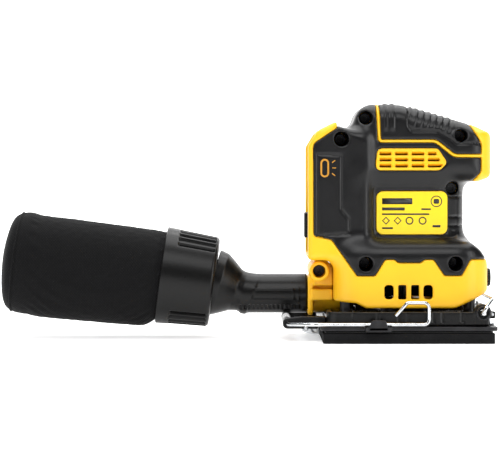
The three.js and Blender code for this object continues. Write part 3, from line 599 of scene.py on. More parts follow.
class SanderColours(bpy.types.PropertyGroup):
    """Colours of the sander's pieces."""

    shell: colour_property("Shell", "Moulded nylon of the housing", "#fbc01a")
    rubber: colour_property("Rubber", "Overmoulded grips", "#121213")
    plastic: colour_property("Plastic", "Black moulded pieces", "#090909")
    knit: colour_property("Bag", "Knitted fabric of the dust bag", "#0d0d0e")
    foam: colour_property("Foam", "Sanding pad", "#0e0e0f")
    wire: colour_property("Wire", "Zinc-plated clamp wires", "#d6d9dc")
    plate: colour_property("Plate", "Coated steel base plate", "#1f1f21")
    label: colour_property("Label", "Rating plate", "#f7d41e")
    ink: colour_property("Ink", "Marks on the rating plate", "#171615")
    mark: colour_property("Mark", "Mark on the battery foot", "#c4871c")


class SanderSizes(bpy.types.PropertyGroup):
    """Sizes of details that the frame doesn't fix."""

    seam: length_property("Seam", "Groove between rubber and shell", 0.22)
    rib_height: length_property("Grip ribs", "Height of the ribs on the palm grip", 0.7)
    groove: length_property("Panel groove", "Depth of the groove round the foot's panel", 0.65)
    bag_slack: bpy.props.FloatProperty(
        name="Bag slack",
        description="Share by which the bag's fabric is longer than its frame",
        subtype="FACTOR",
        default=0.004,
        min=0,
        max=0.1,
    )
    seam_bead: length_property("Bag piping", "Radius of the piping round the bag's end", 0.75)


class SanderStage(bpy.types.PropertyGroup):
    """Floor, light and camera."""

    floor: colour_property("Floor", "Pale floor and backdrop", "#f4f4f4")
    key: bpy.props.FloatProperty(
        name="Key light", description="Power of the large front light", default=15.5, min=0
    )
    distance: bpy.props.FloatProperty(
        name="Camera distance",
        description="From the camera to the middle of the sander",
        unit="LENGTH",
        default=1.4,
        min=0.3,
    )
    elevation: bpy.props.FloatProperty(
        name="Camera elevation",
        description="Height angle of the camera",
        unit="ROTATION",
        default=math.radians(1.3),
    )


def colours():
    return bpy.context.scene.sander_colours


def size_mm(name):
    return getattr(bpy.context.scene.sander_sizes, name) / MM


# ------------------------------------------------------------------ materials
def darker(colour, share):
    return tuple(c * share for c in colour)


def add(tree, kind, inputs=None, **settings):
    """Adds a node, sets its settings, and sets its inputs or links them from sockets."""
    made = tree.nodes.new(kind)
    for name, value in settings.items():
        setattr(made, name, value)
    for name, value in (inputs or {}).items():
        if isinstance(value, bpy.types.NodeSocket):
            tree.links.new(value, made.inputs[name])
        else:
            made.inputs[name].default_value = value
    return made


def start_material(name, **shader):
    """A material with a Principled shader: the material, its tree, and coordinates in metres in
    the piece's own frame."""
    made = bpy.data.materials.new(name)
    made.use_nodes = True
    for socket, value in shader.items():
        made.node_tree.nodes["Principled BSDF"].inputs[
            {"ior": "IOR"}.get(socket, socket.replace("_", " ").title())
        ].default_value = value
    place = add(made.node_tree, "ShaderNodeTexCoord").outputs["Object"]
    return made, made.node_tree, place


def link(tree, **sockets):
    principled = tree.nodes["Principled BSDF"]
    for name, socket in sockets.items():
        tree.links.new(socket, principled.inputs[name.replace("_", " ")])


def noise_of(tree, place, feature_mm, detail=2.0, rough=0.5):
    """Noise whose features are about feature_mm across."""
    inputs = {
        "Vector": place,
        "Scale": 1 / (feature_mm * MM),
        "Detail": detail,
        "Roughness": rough,
    }
    return add(tree, "ShaderNodeTexNoise", inputs).outputs["Fac"]


def cells_of(tree, place, cell_mm):
    inputs = {"Vector": place, "Scale": 1 / (cell_mm * MM)}
    return add(tree, "ShaderNodeTexVoronoi", inputs).outputs["Distance"]


def spread(tree, value, low, high, start=0.3, end=0.7):
    """Maps a value from start..end to low..high."""
    inputs = {"Value": value, "From Min": start, "From Max": end, "To Min": low, "To Max": high}
    return add(tree, "ShaderNodeMapRange", inputs).outputs["Result"]


def two_tone(tree, share, first, second):
    """A colour between two linear ones, by a share."""
    inputs = {"Factor": share, 6: (*first, 1), 7: (*second, 1)}
    return add(tree, "ShaderNodeMix", inputs, data_type="RGBA").outputs[2]


def bump_of(tree, height, depth_mm, strength=1.0, under=None):
    inputs = {"Height": height, "Distance": depth_mm * MM, "Strength": strength}
    if under is not None:
        inputs["Normal"] = under
    return add(tree, "ShaderNodeBump", inputs).outputs["Normal"]


def moulded_nylon(name, colour, roughness, grain_mm=0.5, depth_mm=0.02, ior=1.44):
    """Glass-filled nylon from a spark-eroded mould: a fine even grain that breaks up reflections,
    and a faint change of tone where the melt flowed. The real grain is about 0.1 mm and is drawn
    coarser, so that it shows."""
    made, tree, place = start_material(name, ior=ior)
    melt = noise_of(tree, place, 22, 3)
    grain = noise_of(tree, place, grain_mm, 3, 0.6)
    link(
        tree,
        Base_Color=two_tone(tree, spread(tree, melt, 0, 1), colour, darker(colour, 0.93)),
        Roughness=spread(tree, grain, roughness - 0.05, roughness + 0.07),
        Normal=bump_of(tree, grain, depth_mm),
    )
    return made


def overmould_rubber():
    """Soft thermoplastic rubber moulded onto the shell: nearly black, broad soft highlights, and
    a pebbled skin for grip. The pebbles are drawn at 0.7 mm, so that they show."""
    made, tree, place = start_material("Overmoulded TPE rubber", ior=1.35)
    handling = noise_of(tree, place, 16, 4, 0.6)
    rubber = tuple(colours().rubber)
    link(
        tree,
        Base_Color=two_tone(tree, spread(tree, handling, 0, 1), rubber, darker(rubber, 1.3)),
        Roughness=spread(tree, handling, 0.27, 0.36),
        Normal=bump_of(tree, cells_of(tree, place, 0.7), 0.03, 0.35),
    )
    return made


def filter_knit():
    """Dense polyester filter knit: black, matt, with fine slanting wales, their crests painted lighter and
    the hollows between them painted darker as painted highlight and shade.
    The real wales are about 0.5 mm apart and are drawn at 1.3 mm, so that they show."""
    made, tree, place = start_material(
        "Knitted filter fabric", ior=1.25, roughness=0.9, sheen_weight=0.04, sheen_roughness=0.4
    )
    parts = add(tree, "ShaderNodeSeparateXYZ", {"Vector": place}).outputs
    height = add(tree, "ShaderNodeMath", {0: parts["Z"], 1: 0.046}, operation="SUBTRACT").outputs[0]
    angle = add(tree, "ShaderNodeMath", {0: parts["Y"], 1: height}, operation="ARCTAN2").outputs[0]
    girth = add(tree, "ShaderNodeMath", {0: angle, 1: 0.031}, operation="MULTIPLY").outputs[0]
    wrapped = add(tree, "ShaderNodeCombineXYZ", {"X": parts["X"], "Y": girth}).outputs[0]
    waves = []
    for degrees in (38, -38):
        turn = {"Vector": wrapped, "Angle": math.radians(degrees)}
        slanted = add(tree, "ShaderNodeVectorRotate", turn, rotation_type="Z_AXIS").outputs[0]
        wales = {"Vector": slanted, "Scale": 0.314 / (1.3 * MM), "Distortion": 0.8}
        waves.append(add(tree, "ShaderNodeTexWave", wales).outputs["Fac"])
    product = {0: waves[0], 1: waves[1]}
    weave = add(tree, "ShaderNodeMath", product, operation="MULTIPLY").outputs[0]
    knit = tuple(colours().knit)
    # painted highlight on the wales' crests and painted shade in the hollows between them, from the same
    # weave that raises the bump
    wale_highlight_and_shade = two_tone(tree, weave, darker(knit, 0.6), darker(knit, 1.7))
    lint = spread(tree, noise_of(tree, place, 9, 3), 0, 0.45, 0.4, 0.75)
    # random lint patches pull the painted wale highlight and shade back towards the plain knit colour
    lint_over_wale_shading = add(tree, "ShaderNodeMix", {"Factor": lint, 6: wale_highlight_and_shade, 7: (*knit, 1)}, data_type="RGBA")
    fuzz = noise_of(tree, place, 0.9, 3, 0.7)
    raised = bump_of(tree, weave, 0.2, 0.7)
    link(tree, Base_Color=lint_over_wale_shading.outputs[2], Normal=bump_of(tree, fuzz, 0.12, 0.5, raised))
    return made


def bright_zinc(name, roughness):
    """Zinc-plated steel: bright, with drawing lines and a faint mottle from the plating bath."""
    made, tree, place = start_material(name, metallic=1.0)
    bath = noise_of(tree, place, 3.5, 4, 0.6)
    drawn = add(tree, "ShaderNodeMapping", {"Vector": place, "Scale": (0.08, 1, 1)}).outputs[0]
    zinc = tuple(colours().wire)
    link(
        tree,
        Base_Color=two_tone(tree, spread(tree, bath, 0, 1), zinc, darker(zinc, 0.72)),
        Roughness=spread(tree, bath, roughness - 0.05, roughness + 0.12),
        Normal=bump_of(tree, noise_of(tree, drawn, 0.35), 0.02, 0.4),
    )
    return made


def coated_steel():
    """Pressed steel under a thin black electro-coat: semi-matt, with slightly brighter wear."""
    made, tree, place = start_material("Electro-coated steel", metallic=0.5)
    wear = noise_of(tree, place, 7, 5, 0.65)
    plate = tuple(colours().plate)
    link(
        tree,
        Base_Color=two_tone(tree, spread(tree, wear, 0, 1, 0.45, 0.8), plate, darker(plate, 2.2)),
        Roughness=spread(tree, wear, 0.34, 0.5),
        Normal=bump_of(tree, noise_of(tree, place, 0.6), 0.02, 0.5),
    )
    return made


def closed_cell_foam():
    """Firm pad foam, die-cut: matt, with the opened bubbles of its cut edges."""
    made, tree, place = start_material("Closed-cell EVA foam", ior=1.3, roughness=0.9)
    foam = tuple(colours().foam)
    patches = spread(tree, noise_of(tree, place, 6, 4), 0, 1)
    link(
        tree,
        Base_Color=two_tone(tree, patches, foam, darker(foam, 1.5)),
        Normal=bump_of(tree, cells_of(tree, place, 0.9), 0.25, 0.6),
    )
    return made


def printed(name, colour, roughness=0.3):
    """Ink or polyester label stock under a clear film."""
    made, tree, place = start_material(name, ior=1.5, coat_weight=0.3)
    film = noise_of(tree, place, 5, 4)
    link(
        tree,
        Base_Color=two_tone(tree, spread(tree, film, 0, 1), colour, darker(colour, 0.95)),
        Roughness=spread(tree, film, roughness, roughness + 0.1),
    )
    return made


def inner_metal(name, hex_colour, roughness, mottle_mm):
    """Metal of an inner part, machined, wound or stacked, with a mottle of that size."""
    made, tree, place = start_material(name, metallic=1.0)
    metal = linear(hex_colour)
    mottle = spread(tree, noise_of(tree, place, mottle_mm, 3), 0, 1)
    link(
        tree,
        Base_Color=two_tone(tree, mottle, metal, darker(metal, 0.75)),
        Roughness=spread(tree, mottle, roughness - 0.05, roughness + 0.1, 0, 1),
    )
    return made


MATERIALS = {
    "shell": lambda: moulded_nylon("Moulded yellow nylon", tuple(colours().shell), 0.4),
    "plastic": lambda: moulded_nylon("Moulded black nylon", tuple(colours().plastic), 0.3, ior=1.34),
    "gloss": lambda: moulded_nylon(
        "Moulded black polypropylene", tuple(colours().plastic), 0.32, 0.8, 0.003, 1.32
    ),
    "rubber": overmould_rubber,
    "knit": filter_knit,
    "wire": lambda: bright_zinc("Zinc-plated spring wire", 0.12),
    "zinc": lambda: bright_zinc("Zinc-plated pressed steel", 0.28),
    "coated": coated_steel,
    "foam": closed_cell_foam,
    "label": lambda: printed("Yellow polyester label", tuple(colours().label)),
    "ink": lambda: printed("Black label ink", tuple(colours().ink), 0.4),
    "mark": lambda: printed("Amber pad-printed ink", tuple(colours().mark), 0.5),
    "copper": lambda: inner_metal("Enamelled copper", "#b86a30", 0.35, 1.2),
    "lamination": lambda: inner_metal("Stacked electrical steel", "#6c6f73", 0.42, 0.8),
    "board": lambda: moulded_nylon("Coated circuit board", linear("#1e5236"), 0.35, 1.0, 0.03),
    "red": lambda: moulded_nylon("Red PVC lead", linear("#a11a1a"), 0.4, 0.6),
}
made_materials = {}


def material(key):
    """A material, made when a piece first needs it."""
    if key not in made_materials:
        made_materials[key] = MATERIALS[key]()
    return made_materials[key]


# ------------------------------------------------------------------ pieces
def new_piece(name, shape, look, body, nodes=(), sharp=None):
    """A piece of the sander from (points in millimetres, faces). It rides on a body, stands for
    CAD nodes, and takes the finish of its look. Edges over `sharp` degrees stay sharp."""
    points, faces = shape
    mesh = bpy.data.meshes.new(name)
    mesh.from_pydata((np.asarray(points) * MM).tolist(), [], [tuple(map(int, f)) for f in faces])
    mesh.validate()
    made = bpy.data.objects.new(name, mesh)
    bpy.context.scene.collection.objects.link(made)
    mesh.materials.append(material(look))
    mesh.shade_smooth()
    if sharp:
        mesh.set_sharp_from_angle(angle=math.radians(sharp))
        made.modifiers.new("Even shading", "WEIGHTED_NORMAL").keep_sharp = True
    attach(made, body)
    if nodes:
        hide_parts(*nodes)
    return made


def moulded(name, g, field, look, body):
    """A piece over a field's zero surface. It stands for the CAD node of its name."""
    return new_piece(name, g.surface(field), look, body, [name])


def cylinder(g, axis, at, radius, low, high, edge=0.0):
    """A round bar along an axis, as a field."""
    across = {"x": (g.y, g.z), "y": (g.x, g.z), "z": (g.x, g.y)}[axis]
    along = {"x": g.x, "y": g.y, "z": g.z}[axis]
    flat = np.hypot(across[0] - at[0], across[1] - at[1]) - radius
    return slab(flat, np.maximum(low - along, along - high), edge)


def cuboid(g, x, y, z, edge=0.0):
    return box_distance(g.x, g.y, g.z, (x[0], y[0], z[0]), (x[1], y[1], z[1]), edge)


def cut(solid, tool, edge=0.0):
    """Takes a field's inside out of another's."""
    return blend_max(solid, -tool, edge) if edge else np.maximum(solid, -tool)


def fuse(*fields):
    total = fields[0]
    for field in fields[1:]:
        total = np.minimum(total, field)
    return total


def line_distance(points, u, v):
    """Distance to an open line through points in a plane."""
    nearest = np.full(np.broadcast(u, v).shape, 1e9)
    points = np.array(points, float)
    for a, b in zip(points, points[1:]):
        edge = b - a
        along = np.clip(((u - a[0]) * edge[0] + (v - a[1]) * edge[1]) / (edge @ edge), 0, 1)
        gap = (u - a[0] - along * edge[0]) ** 2 + (v - a[1] - along * edge[1]) ** 2
        nearest = np.minimum(nearest, gap)
    return np.sqrt(nearest)


# ------------------------------------------------------------------ housing
def housing_skin(g):
    """The housing's outside, before any opening is cut."""
    half = np.abs(g.y)
    head = slab(outline_distance(HEAD_OUTLINE, g.x, g.z), half - HEAD_HALF, 12)
    head = blend_max(head, outline_distance(HEAD_PLAN, g.x, g.y), 1.2)
    foot = slab(outline_distance(FOOT_OUTLINE, g.x, g.z), half - FOOT_HALF, 4)
    waist = slab(outline_distance(WAIST_PLAN, g.x, g.y), np.abs(g.z - 79) - 29, 1)
    lower = slab(outline_distance(LOWER_PLAN, g.x, g.y), np.abs(g.z - 36.5) - 26.5, 11)
    lower = blend_max(lower, outline_distance(LOWER_OUTLINE, g.x, g.z), 2)
    upper = blend_min(blend_min(waist, head, 7), foot, 9)
    return blend_min(upper, lower, 8)


def outlet_block(g):
    """Yellow pieces of the rear: the outlet's barrel, flange and bands, and a screw's boss."""
    barrel = cylinder(g, "x", (0, DUCT_Z), 12, OUTLET_FACE_X + 1, -40, 0.5)
    band = cuboid(g, (OUTLET_FACE_X + 2, -42), (-18, 18), (24.6, 31.8), 0.8)
    flange = slab(
        outline_distance(rectangle((-16, 16), (15, 39.6), 4), g.y, g.z),
        np.abs(g.x - OUTLET_FACE_X - 1.6) - 1.6,
        0.7,
    )
    x, z, _ = SCREWS[-1]
    boss = cylinder(g, "y", (x, z), 6.3, -27, 27, 1)
    web = cuboid(g, (x - 3, -42), (-18, 18), (34, 53), 0.8)
    return blend_min(fuse(barrel, band, flange), fuse(boss, web), 2)


def engraving(g):
    """Depth of the marks in the rubber, over the side view. Raised marks are negative."""
    x, z = g.x, g.z
    depth = np.zeros(np.broadcast(x, z).shape)
    panel = [(-56.1, 116.6), (-41.2, 116), (-41.2, 82.6), (-36.4, 76.6), (-36.4, 67.1)]
    panel += [(-54.9, 65.3), (-56.1, 67), (-56.1, 116.6)]
    depth += size_mm("groove") * (1 - step_up(line_distance(panel, x, z), 0.3, 0.9))
    # ribs of the palm grip, above a step that follows them
    step_line = [(0.7, 150), (0.7, 134.6), (3.1, 131.4), (19.1, 131), (27, 126.6), (31, 123.5)]
    step_line += [(46.6, 123.5), (60, 123.5), (60, 150)]
    ribbed = outline_distance(step_line, x, z)
    height = size_mm("rib_height")
    depth += height * (1 - step_up(np.abs(ribbed), 0.35, 1.0))
    lean = x - 2.4 + 0.012 * (z - 150) ** 2
    wave = 0.5 + 0.5 * np.cos(lean * 2 * math.pi / 4.2)
    depth -= height * step_up(wave, 0.2, 0.8) * step_up(-ribbed, 0.9, 2) * (1 - step_up(x, 27, 31))
    for rib_x in (-13.2, -8.9):
        rib = 1 - step_up(np.abs(x - rib_x), 0.6, 1.4)
        depth -= height * rib * step_up(z, 131, 133.5)
    # lines across the front of the waist
    for line_z in (72, 77.2, 90):
        line = 1 - step_up(np.abs(z - line_z), 0.2, 0.7)
        depth += 0.6 * line * step_up(x, 26.5, 27.5) * (1 - step_up(x, 60, 61))
    return depth


def split(field, g, side):
    """The part of a field at one side of the parting plane: -1 is the right, 1 the left."""
    return blend_max(field, 0.12 - side * g.y, 0.5)


def screw_wells(g, screws, reach, spare=0.0):
    """Recesses that the housing screws sit in, as deep as y = -reach."""
    return fuse(*[cylinder(g, "y", (x, z), r + spare, -80, -reach, 0.3) for x, z, r in screws])


def battery_bay(g):
    high = BODY_TOP + 20
    pocket = cuboid(g, (FACE_X - 20, BAY_FLOOR_X), (-27, 27), (54, high), 0.8)
    rails = cuboid(g, (BAY_FLOOR_X - 3.4, BAY_FLOOR_X), (-31, 31), (54, high), 0.4)
    return np.minimum(pocket, rails)


def housing_shells():
    g = Grid((FACE_X - 2, -LOWER_HALF - 2, 19), (NOSE_X + 2, LOWER_HALF + 2, BODY_TOP + 3), CELL)
    skin = housing_skin(g)
    area = outline_distance(RUBBER_OUTLINE, g.x, g.z)
    grip = outline_distance(GRIP_OUTLINE, g.x, g.z)
    covered = np.maximum(area, STRIPE_HALF - np.abs(grip))
    seam = size_mm("seam") / 2
    bare = blend_max(skin, seam - covered, 0.5)
    # the stripe between the rubber pieces stands as proud as they do
    solid = np.minimum(bare, skin + SKIN + 0.1)
    inside = np.maximum(skin + WALL, BAY_FLOOR_X - g.x)
    solid = cut(solid, inside)
    ribs = [
        np.maximum(
            np.maximum(outline_distance(WAIST_PLAN, g.x, g.y) + 2, np.abs(g.z - z) - 1.8),
            r - np.hypot(g.x - MOTOR_X, g.y),
        )
        for z, r in ((46.5, 11.3), (59.5, 23.6), (75.5, 23.6), (91, 9.8))
    ]
    solid = fuse(solid, *ribs)
    for x, y in LEG_SPOTS:
        post = np.maximum(cylinder(g, "z", (x, y), 7.5, 24.5, 41, 0.5), skin + 1)
        socket = np.maximum(cylinder(g, "z", (x, y), 5.7, 10, 38), skin + 1.6)
        solid = cut(np.minimum(solid, post), socket)
    posts = [cylinder(g, "y", (x, z), r + SLEEVE + 1.2, -50, 50) for x, z, r in SCREWS[:-1]]
    solid = np.minimum(solid, np.maximum(fuse(*posts), skin + SKIN))
    solid = cut(solid, battery_bay(g), 0.8)
    solid = cut(solid, cylinder(g, "z", (MOTOR_X, 0), 22, 10, 30), 0.6)
    solid = cut(solid, outline_distance(VENT_OUTLINE, g.x, g.z) - 0.1)
    half = np.abs(g.y)
    for i, x in enumerate(EXHAUST_X):
        outer = i in (0, 3)
        reach = (x - 2.9, x + 2.9) if outer else (x - 2.5, x + 2.5)
        slot = outline_distance(rectangle(reach, EXHAUST_Z, 2.2 if outer else 0.4), g.x, g.z)
        solid = cut(solid, np.maximum(slot, 34 - half), 0.3)
    solid = cut(solid, cuboid(g, (NOSE_X - 6, NOSE_X + 4), (-9, 9), (108, 124), 3), 0.8)
    solid = cut(solid, cylinder(g, "x", (0, DIAL_Z), 6.8, LOWER_FRONT_X - 6, 70), 0.8)
    solid = cut(solid, cylinder(g, "x", (0, DUCT_Z), DUCT_R + 0.3, -80, -30), 0.5)
    holes = fuse(*[cylinder(g, "y", (x, z), 1.9, -80, 16) for x, z, _ in SCREWS[:-1]])
    wells = screw_wells(g, SCREWS[:-1], HEAD_DEPTH, SLEEVE + 0.1)
    for side, name in ((-1, "right_housing_shell"), (1, "left_housing_shell")):
        field = cut(solid, holes)
        if side < 0:
            field = cut(field, wells, 0.5)
        moulded(name, g, split(field, g, side), "shell", "housing")


def dust_outlet():
    """The outlet block fills the corner behind the lower body, and its screw ties both shells."""
    low, high = low_of("dust_outlet") - 1, high_of("dust_outlet") + 1
    g = Grid(low, high, 0.6)
    solid = np.maximum(outlet_block(g), GAP - housing_skin(g))
    solid = cut(solid, cylinder(g, "x", (0, DUCT_Z), DUCT_R + GAP, -80, -30), 0.5)
    x, z, _ = SCREWS[-1]
    solid = cut(solid, screw_wells(g, SCREWS[-1:], HEAD_DEPTH), 0.5)
    solid = cut(solid, cylinder(g, "y", (x, z), 1.9, -80, 16))
    moulded("dust_outlet", g, solid, "shell", "housing")


# The proud panel of the battery receiver
PANEL_STEP = 0.4
PANEL_HALF = 26.4
PANEL_Z = (80.6, 124)


def battery_receiver():
    """Back wall of the battery bay, with a proud panel and ribs along its foot."""
    low, high = box_of("battery_receiver")
    g = Grid(low - 1, high + 1, 0.6)
    wall = cuboid(g, (low[0] + PANEL_STEP, high[0]), (low[1], high[1]), (low[2], high[2]), 0.3)
    panel = cuboid(g, (low[0], high[0]), (-PANEL_HALF, PANEL_HALF), PANEL_Z, 0.6)
    solid = fuse(wall, panel)
    for z in np.arange(88, 120, 8):
        groove = cuboid(g, (low[0] - 2, low[0] + 0.8), (-20, 20), (z - 1, z + 1), 0.4)
        solid = cut(solid, groove, 0.4)
    solid = np.maximum(solid, housing_skin(g) + WALL + GAP)
    moulded("battery_receiver", g, solid, "plastic", "housing")


def rubber_pieces():
    g = Grid((FACE_X, -LOWER_HALF - 2, 39), (NOSE_X + 1, LOWER_HALF + 2, BODY_TOP + 3), CELL)
    skin = housing_skin(g)
    area = outline_distance(RUBBER_OUTLINE, g.x, g.z)
    grip = outline_distance(GRIP_OUTLINE, g.x, g.z)
    seam = size_mm("seam") / 2
    top = skin + engraving(g)
    # a shallow pocket round the rating plate
    pocket = outline_distance(rectangle((-21.6, 33.2), (63.4, 98), 5), g.x, g.z)
    top = top + 0.45 * (1 - step_up(pocket, -0.9, 0.1)) * (g.y < 0)
    sheet = blend_max(top, -(skin + SKIN), 0.4)
    sheet = blend_max(sheet, area + seam, 0.9)
    # sleeves line the wells down to the screw heads, where each has a ledge
    sleeves = np.maximum(screw_wells(g, SCREWS[:-1], HEAD_DEPTH + 0.2, SLEEVE), skin + 0.8)
    sheet = fuse(sheet, sleeves)
    sheet = cut(sheet, screw_wells(g, SCREWS[:-1], HEAD_DEPTH + 3), 0.9)
    heads = [cylinder(g, "y", (x, z), 3.8, -80, 0) for x, z, _ in SCREWS[:-1]]
    sheet = cut(sheet, np.maximum(fuse(*heads), g.y))
    sheet = cut(sheet, outline_distance(VENT_OUTLINE, g.x, g.z) - 0.1, 0.6)
    sheet = cut(sheet, cuboid(g, (FACE_X - 20, BAY_FLOOR_X + 4), (-32, 32), (54, 200)))
    main = blend_max(sheet, STRIPE_HALF + seam - grip, 0.9)
    plate_hole = outline_distance(rectangle(LABEL_X, LABEL_Z, 4), g.x, g.z) - 0.15
    right = cut(split(main, g, -1), np.maximum(plate_hole, g.y), 0.4)
    palm = blend_max(sheet, grip + STRIPE_HALF + seam, 0.9)
    moulded("right_overmould", g, right, "rubber", "housing")
    moulded("left_overmould", g, split(main, g, 1), "rubber", "housing")
    moulded("grip_overmould", g, palm, "rubber", "housing")


# Slots of a grille: the rows' heights, and where the slots of a row start and end
VENT_ROWS = (109.9, 113.7, 117.5)
VENT_STARTS = (-17.2, -7.4, 2.9, 13)
VENT_ENDS = (-9.7, 0.6, 10.8)
LOUVRE_SLOPE = 0.42  # how far a slot moves up or down for each millimetre inwards


def vent_grilles():
    """Slotted inserts, with louvres that lean so that light doesn't pass straight through."""
    for side, name in ((-1, "right_vent_grille"), (1, "left_vent_grille")):
        low, high = low_of(name) - 1, high_of(name) + 1
        low[1], high[1] = (low[1], high[1] + 2) if side < 0 else (low[1] - 2, high[1])
        g = Grid(low, high, 0.42)
        skin = housing_skin(g)
        outline = outline_distance(VENT_OUTLINE, g.x, g.z)
        solid = blend_max(np.maximum(skin, -(skin + 4.4)), outline, 0.6)
        lowered = g.z - side * LOUVRE_SLOPE * np.clip(-skin, 0, 5)
        for z in VENT_ROWS:
            slanted_end = 18 + 4.8 * (118.2 - z) / 9
            for x in zip(VENT_STARTS, (*VENT_ENDS, slanted_end)):
                slot = outline_distance(rectangle(x, (z - 1.1, z + 1.1), 0.45), g.x, lowered)
                solid = cut(solid, np.maximum(slot, outline + 1), 0.4)
        moulded(name, g, solid, "shell", "housing")


def rating_plate():
    """The plate and generic marks on it: plain bars and rings in place of print."""
    low, high = box_of("rating_plate")
    face = low[1]
    shape = plate(rectangle(LABEL_X, LABEL_Z, 4), face, high[1], 0.25, "y")
    new_piece("rating_plate", shape, "label", "housing", ["rating_plate"], sharp=40)
    bars = [
        ((-15.4, 3.6), (85.6, 89.4)),
        ((-15.4, -1.2), (81.7, 83.6)),
        ((9.2, 15.2), (82, 83)),
        ((-15.4, 14.2), (78.9, 79.9)),
        ((-15.4, -8.6), (70.1, 71.2)),
        ((16.2, 21.2), (71.1, 72.6)),
    ]
    marks = [plate(rectangle(x, z, 0.3), face - 0.06, face, 0, "y") for x, z in bars]
    for x in (-12.9, -5.6, 1.8, 10):
        marks.append(ring_mark(x, 75.3, 2.5, 0.8, face, 4 if x < 0 else 24))
    marks.append(ring_mark(18.6, 87.4, 3.6, 0.6, face, 40))
    marks.append(plate(rectangle((16.9, 20.3), (85.9, 88.9), 0.8), face - 0.06, face, 0, "y"))
    new_piece("rating_plate_marks", joined(marks), "ink", "housing")


def ring_mark(x, z, radius, width, face, sides):
    """A flat ring of ink on a face across Y."""
    outer, inner = circle(x, z, radius, sides), circle(x, z, radius - width, sides)
    rings = []
    for flat, y in ((outer, face), (outer, face - 0.06), (inner, face - 0.06), (inner, face)):
        rings.append(np.stack([flat[:, 0], np.full(sides, y), flat[:, 1]], 1))
    return loft(rings, closed=True)


# Strokes beside the loop on the foot, as (x, z) of their starts and ends
FOOT_STROKES = ((-46.9, 111.6, -45, 113), (-46.7, 108.3, -44.4, 108.3), (-46.9, 105, -45, 103.4))


def foot_mark():
    """A plain amber mark on the battery foot, at each side."""
    face = FOOT_HALF + 0.02
    marks = []
    for side in (-1, 1):
        y = side * face
        outline = bend_flat(rectangle((-53.6, -49.3), (103, 113.4), 2.1))
        loop = np.stack([outline[:, 0], np.full(len(outline), y), outline[:, 1]], 1)
        marks.append(flat_tube(loop, 0.55, side))
        for x0, z0, x1, z1 in FOOT_STROKES:
            marks.append(flat_tube(np.array([[x0, y, z0], [x1, y, z1]]), 0.3, side))
    new_piece("foot_mark", joined(marks), "mark", "housing")


def bend_flat(corners):
    points = rounded(corners)
    return np.concatenate([points, points[:1]])


def flat_tube(points, radius, side):
    """A printed stroke: a tube pressed flat against the face at one side."""
    shape, faces = tube(points, radius, 12)
    middle = points[:, 1].mean()
    shape[:, 1] = middle + (shape[:, 1] - middle) * 0.05 + side * 0.02
    return shape, faces


def screws():
    """Thread-forming screws with six-lobed sockets."""
    for i, (x, z, _) in enumerate(SCREWS):
        profile = [(0.01, 1.6), (1.5, 1.6), (1.65, 0.1), (1.9, 0), (3.1, 0), (3.5, 0.5), (3.5, 2.2)]
        profile += [(1.6, 2.25)]
        for k in range(28):
            profile += [(1.6, 3 + k * 0.8), (1.95, 3.4 + k * 0.8)]
        profile += [(1.3, 26), (0.4, 28.4), (0.01, 28.4)]

        def lobes(angles, reach, distance):
            return reach * (1 + 0.12 * np.cos(6 * angles)) if reach[0] < 1.7 and distance < 1.7 else reach

        name = f"housing_screw_{i + 1}"
        shape = turned(profile, (x, -16.4, z), (0, 1, 0), 24, closed=False, shape=lobes)
        new_piece(name, shape, "coated", "housing", [name], sharp=35)


# ------------------------------------------------------------------ controls and contacts
def power_button():
    low, high = box_of("power_button")
    g = Grid(low - 1, high + 1, 0.45)
    outline = outline_distance(rectangle((low[1], high[1]), (low[2], high[2]), 3), g.y, g.z)
    solid = slab(outline, np.maximum(low[0] - g.x, g.x - high[0]), 0.9)
    dish = np.sqrt((g.x - high[0] - 30) ** 2 + g.y**2 + (g.z - 116) ** 2) - 30.6
    raised = np.hypot(g.y, g.z - 116)
    ring = np.maximum(np.abs(raised - 3.2) - 0.45, np.abs(g.x - high[0] + 0.5) - 0.35)
    bar = np.maximum(np.abs(g.y) - 0.45, np.maximum(117.5 - g.z, g.z - 120.4))
    bar = np.maximum(bar, np.abs(g.x - high[0] + 0.5) - 0.35)
    solid = fuse(cut(solid, dish, 0.8), ring, bar)
    moulded("power_button", g, solid, "rubber", "button")


def speed_dial():
    low, high = box_of("speed_dial")
    radius = (high[1] - low[1]) / 2
    length = high[0] - low[0]
    profile = [(0.01, 0), (radius - 1, 0), (radius - 0.6, 0.4)]
    profile += [(radius, 0.8 + 0.5 * k) for k in range(int((length - 1.6) / 0.5))]
    profile += [(radius, length - 0.8), (radius - 0.6, length), (2.6, length), (2.2, length - 0.5)]
    profile += [(0.01, length - 0.5)]

    def flutes(angles, reach, distance):
        if reach[0] < radius - 0.1 or distance < length - 3.4:
            return reach
        return reach - 0.45 * (0.5 + 0.5 * np.cos(22 * angles))

    root = (low[0], 0, DIAL_Z)
    shape = turned(profile, root, (1, 0, 0), 176, closed=False, shape=flutes)
    new_piece("speed_dial", shape, "plastic", "dial", ["speed_dial"], sharp=40)
    line = rectangle((-0.45, 0.45), (DIAL_Z + 2.9, DIAL_Z + 5), 0.3)
    pointer = plate(line, high[0], high[0] + 0.06, 0, "x")
    new_piece("speed_dial_pointer", pointer, "label", "dial")


def terminal_block():
    low, high = box_of("terminal_block")
    g = Grid(low - 1, high + 1, 0.45)
    solid = cuboid(g, (low[0], high[0]), (low[1], high[1]), (low[2], high[2]), 0.8)
    for y in (-7, 7):
        solid = cut(solid, cuboid(g, (-62.4, -58), (y - 1.9, y + 1.9), (70, 90)), 0.4)
    for y in (-2.4, 2.4):
        solid = cut(solid, cuboid(g, (-62.4, -60), (y - 0.8, y + 0.8), (72, 90)), 0.3)
    moulded("terminal_block", g, solid, "plastic", "housing")
    for name in ("positive_contact", "negative_contact"):
        low, high = box_of(name)
        blade = rectangle((low[1], high[1]), (low[2], high[2]), 0.5)
        shape = plate(blade, low[0], high[0], 0.3, "x")
        new_piece(name, shape, "zinc", "housing", [name], sharp=40)


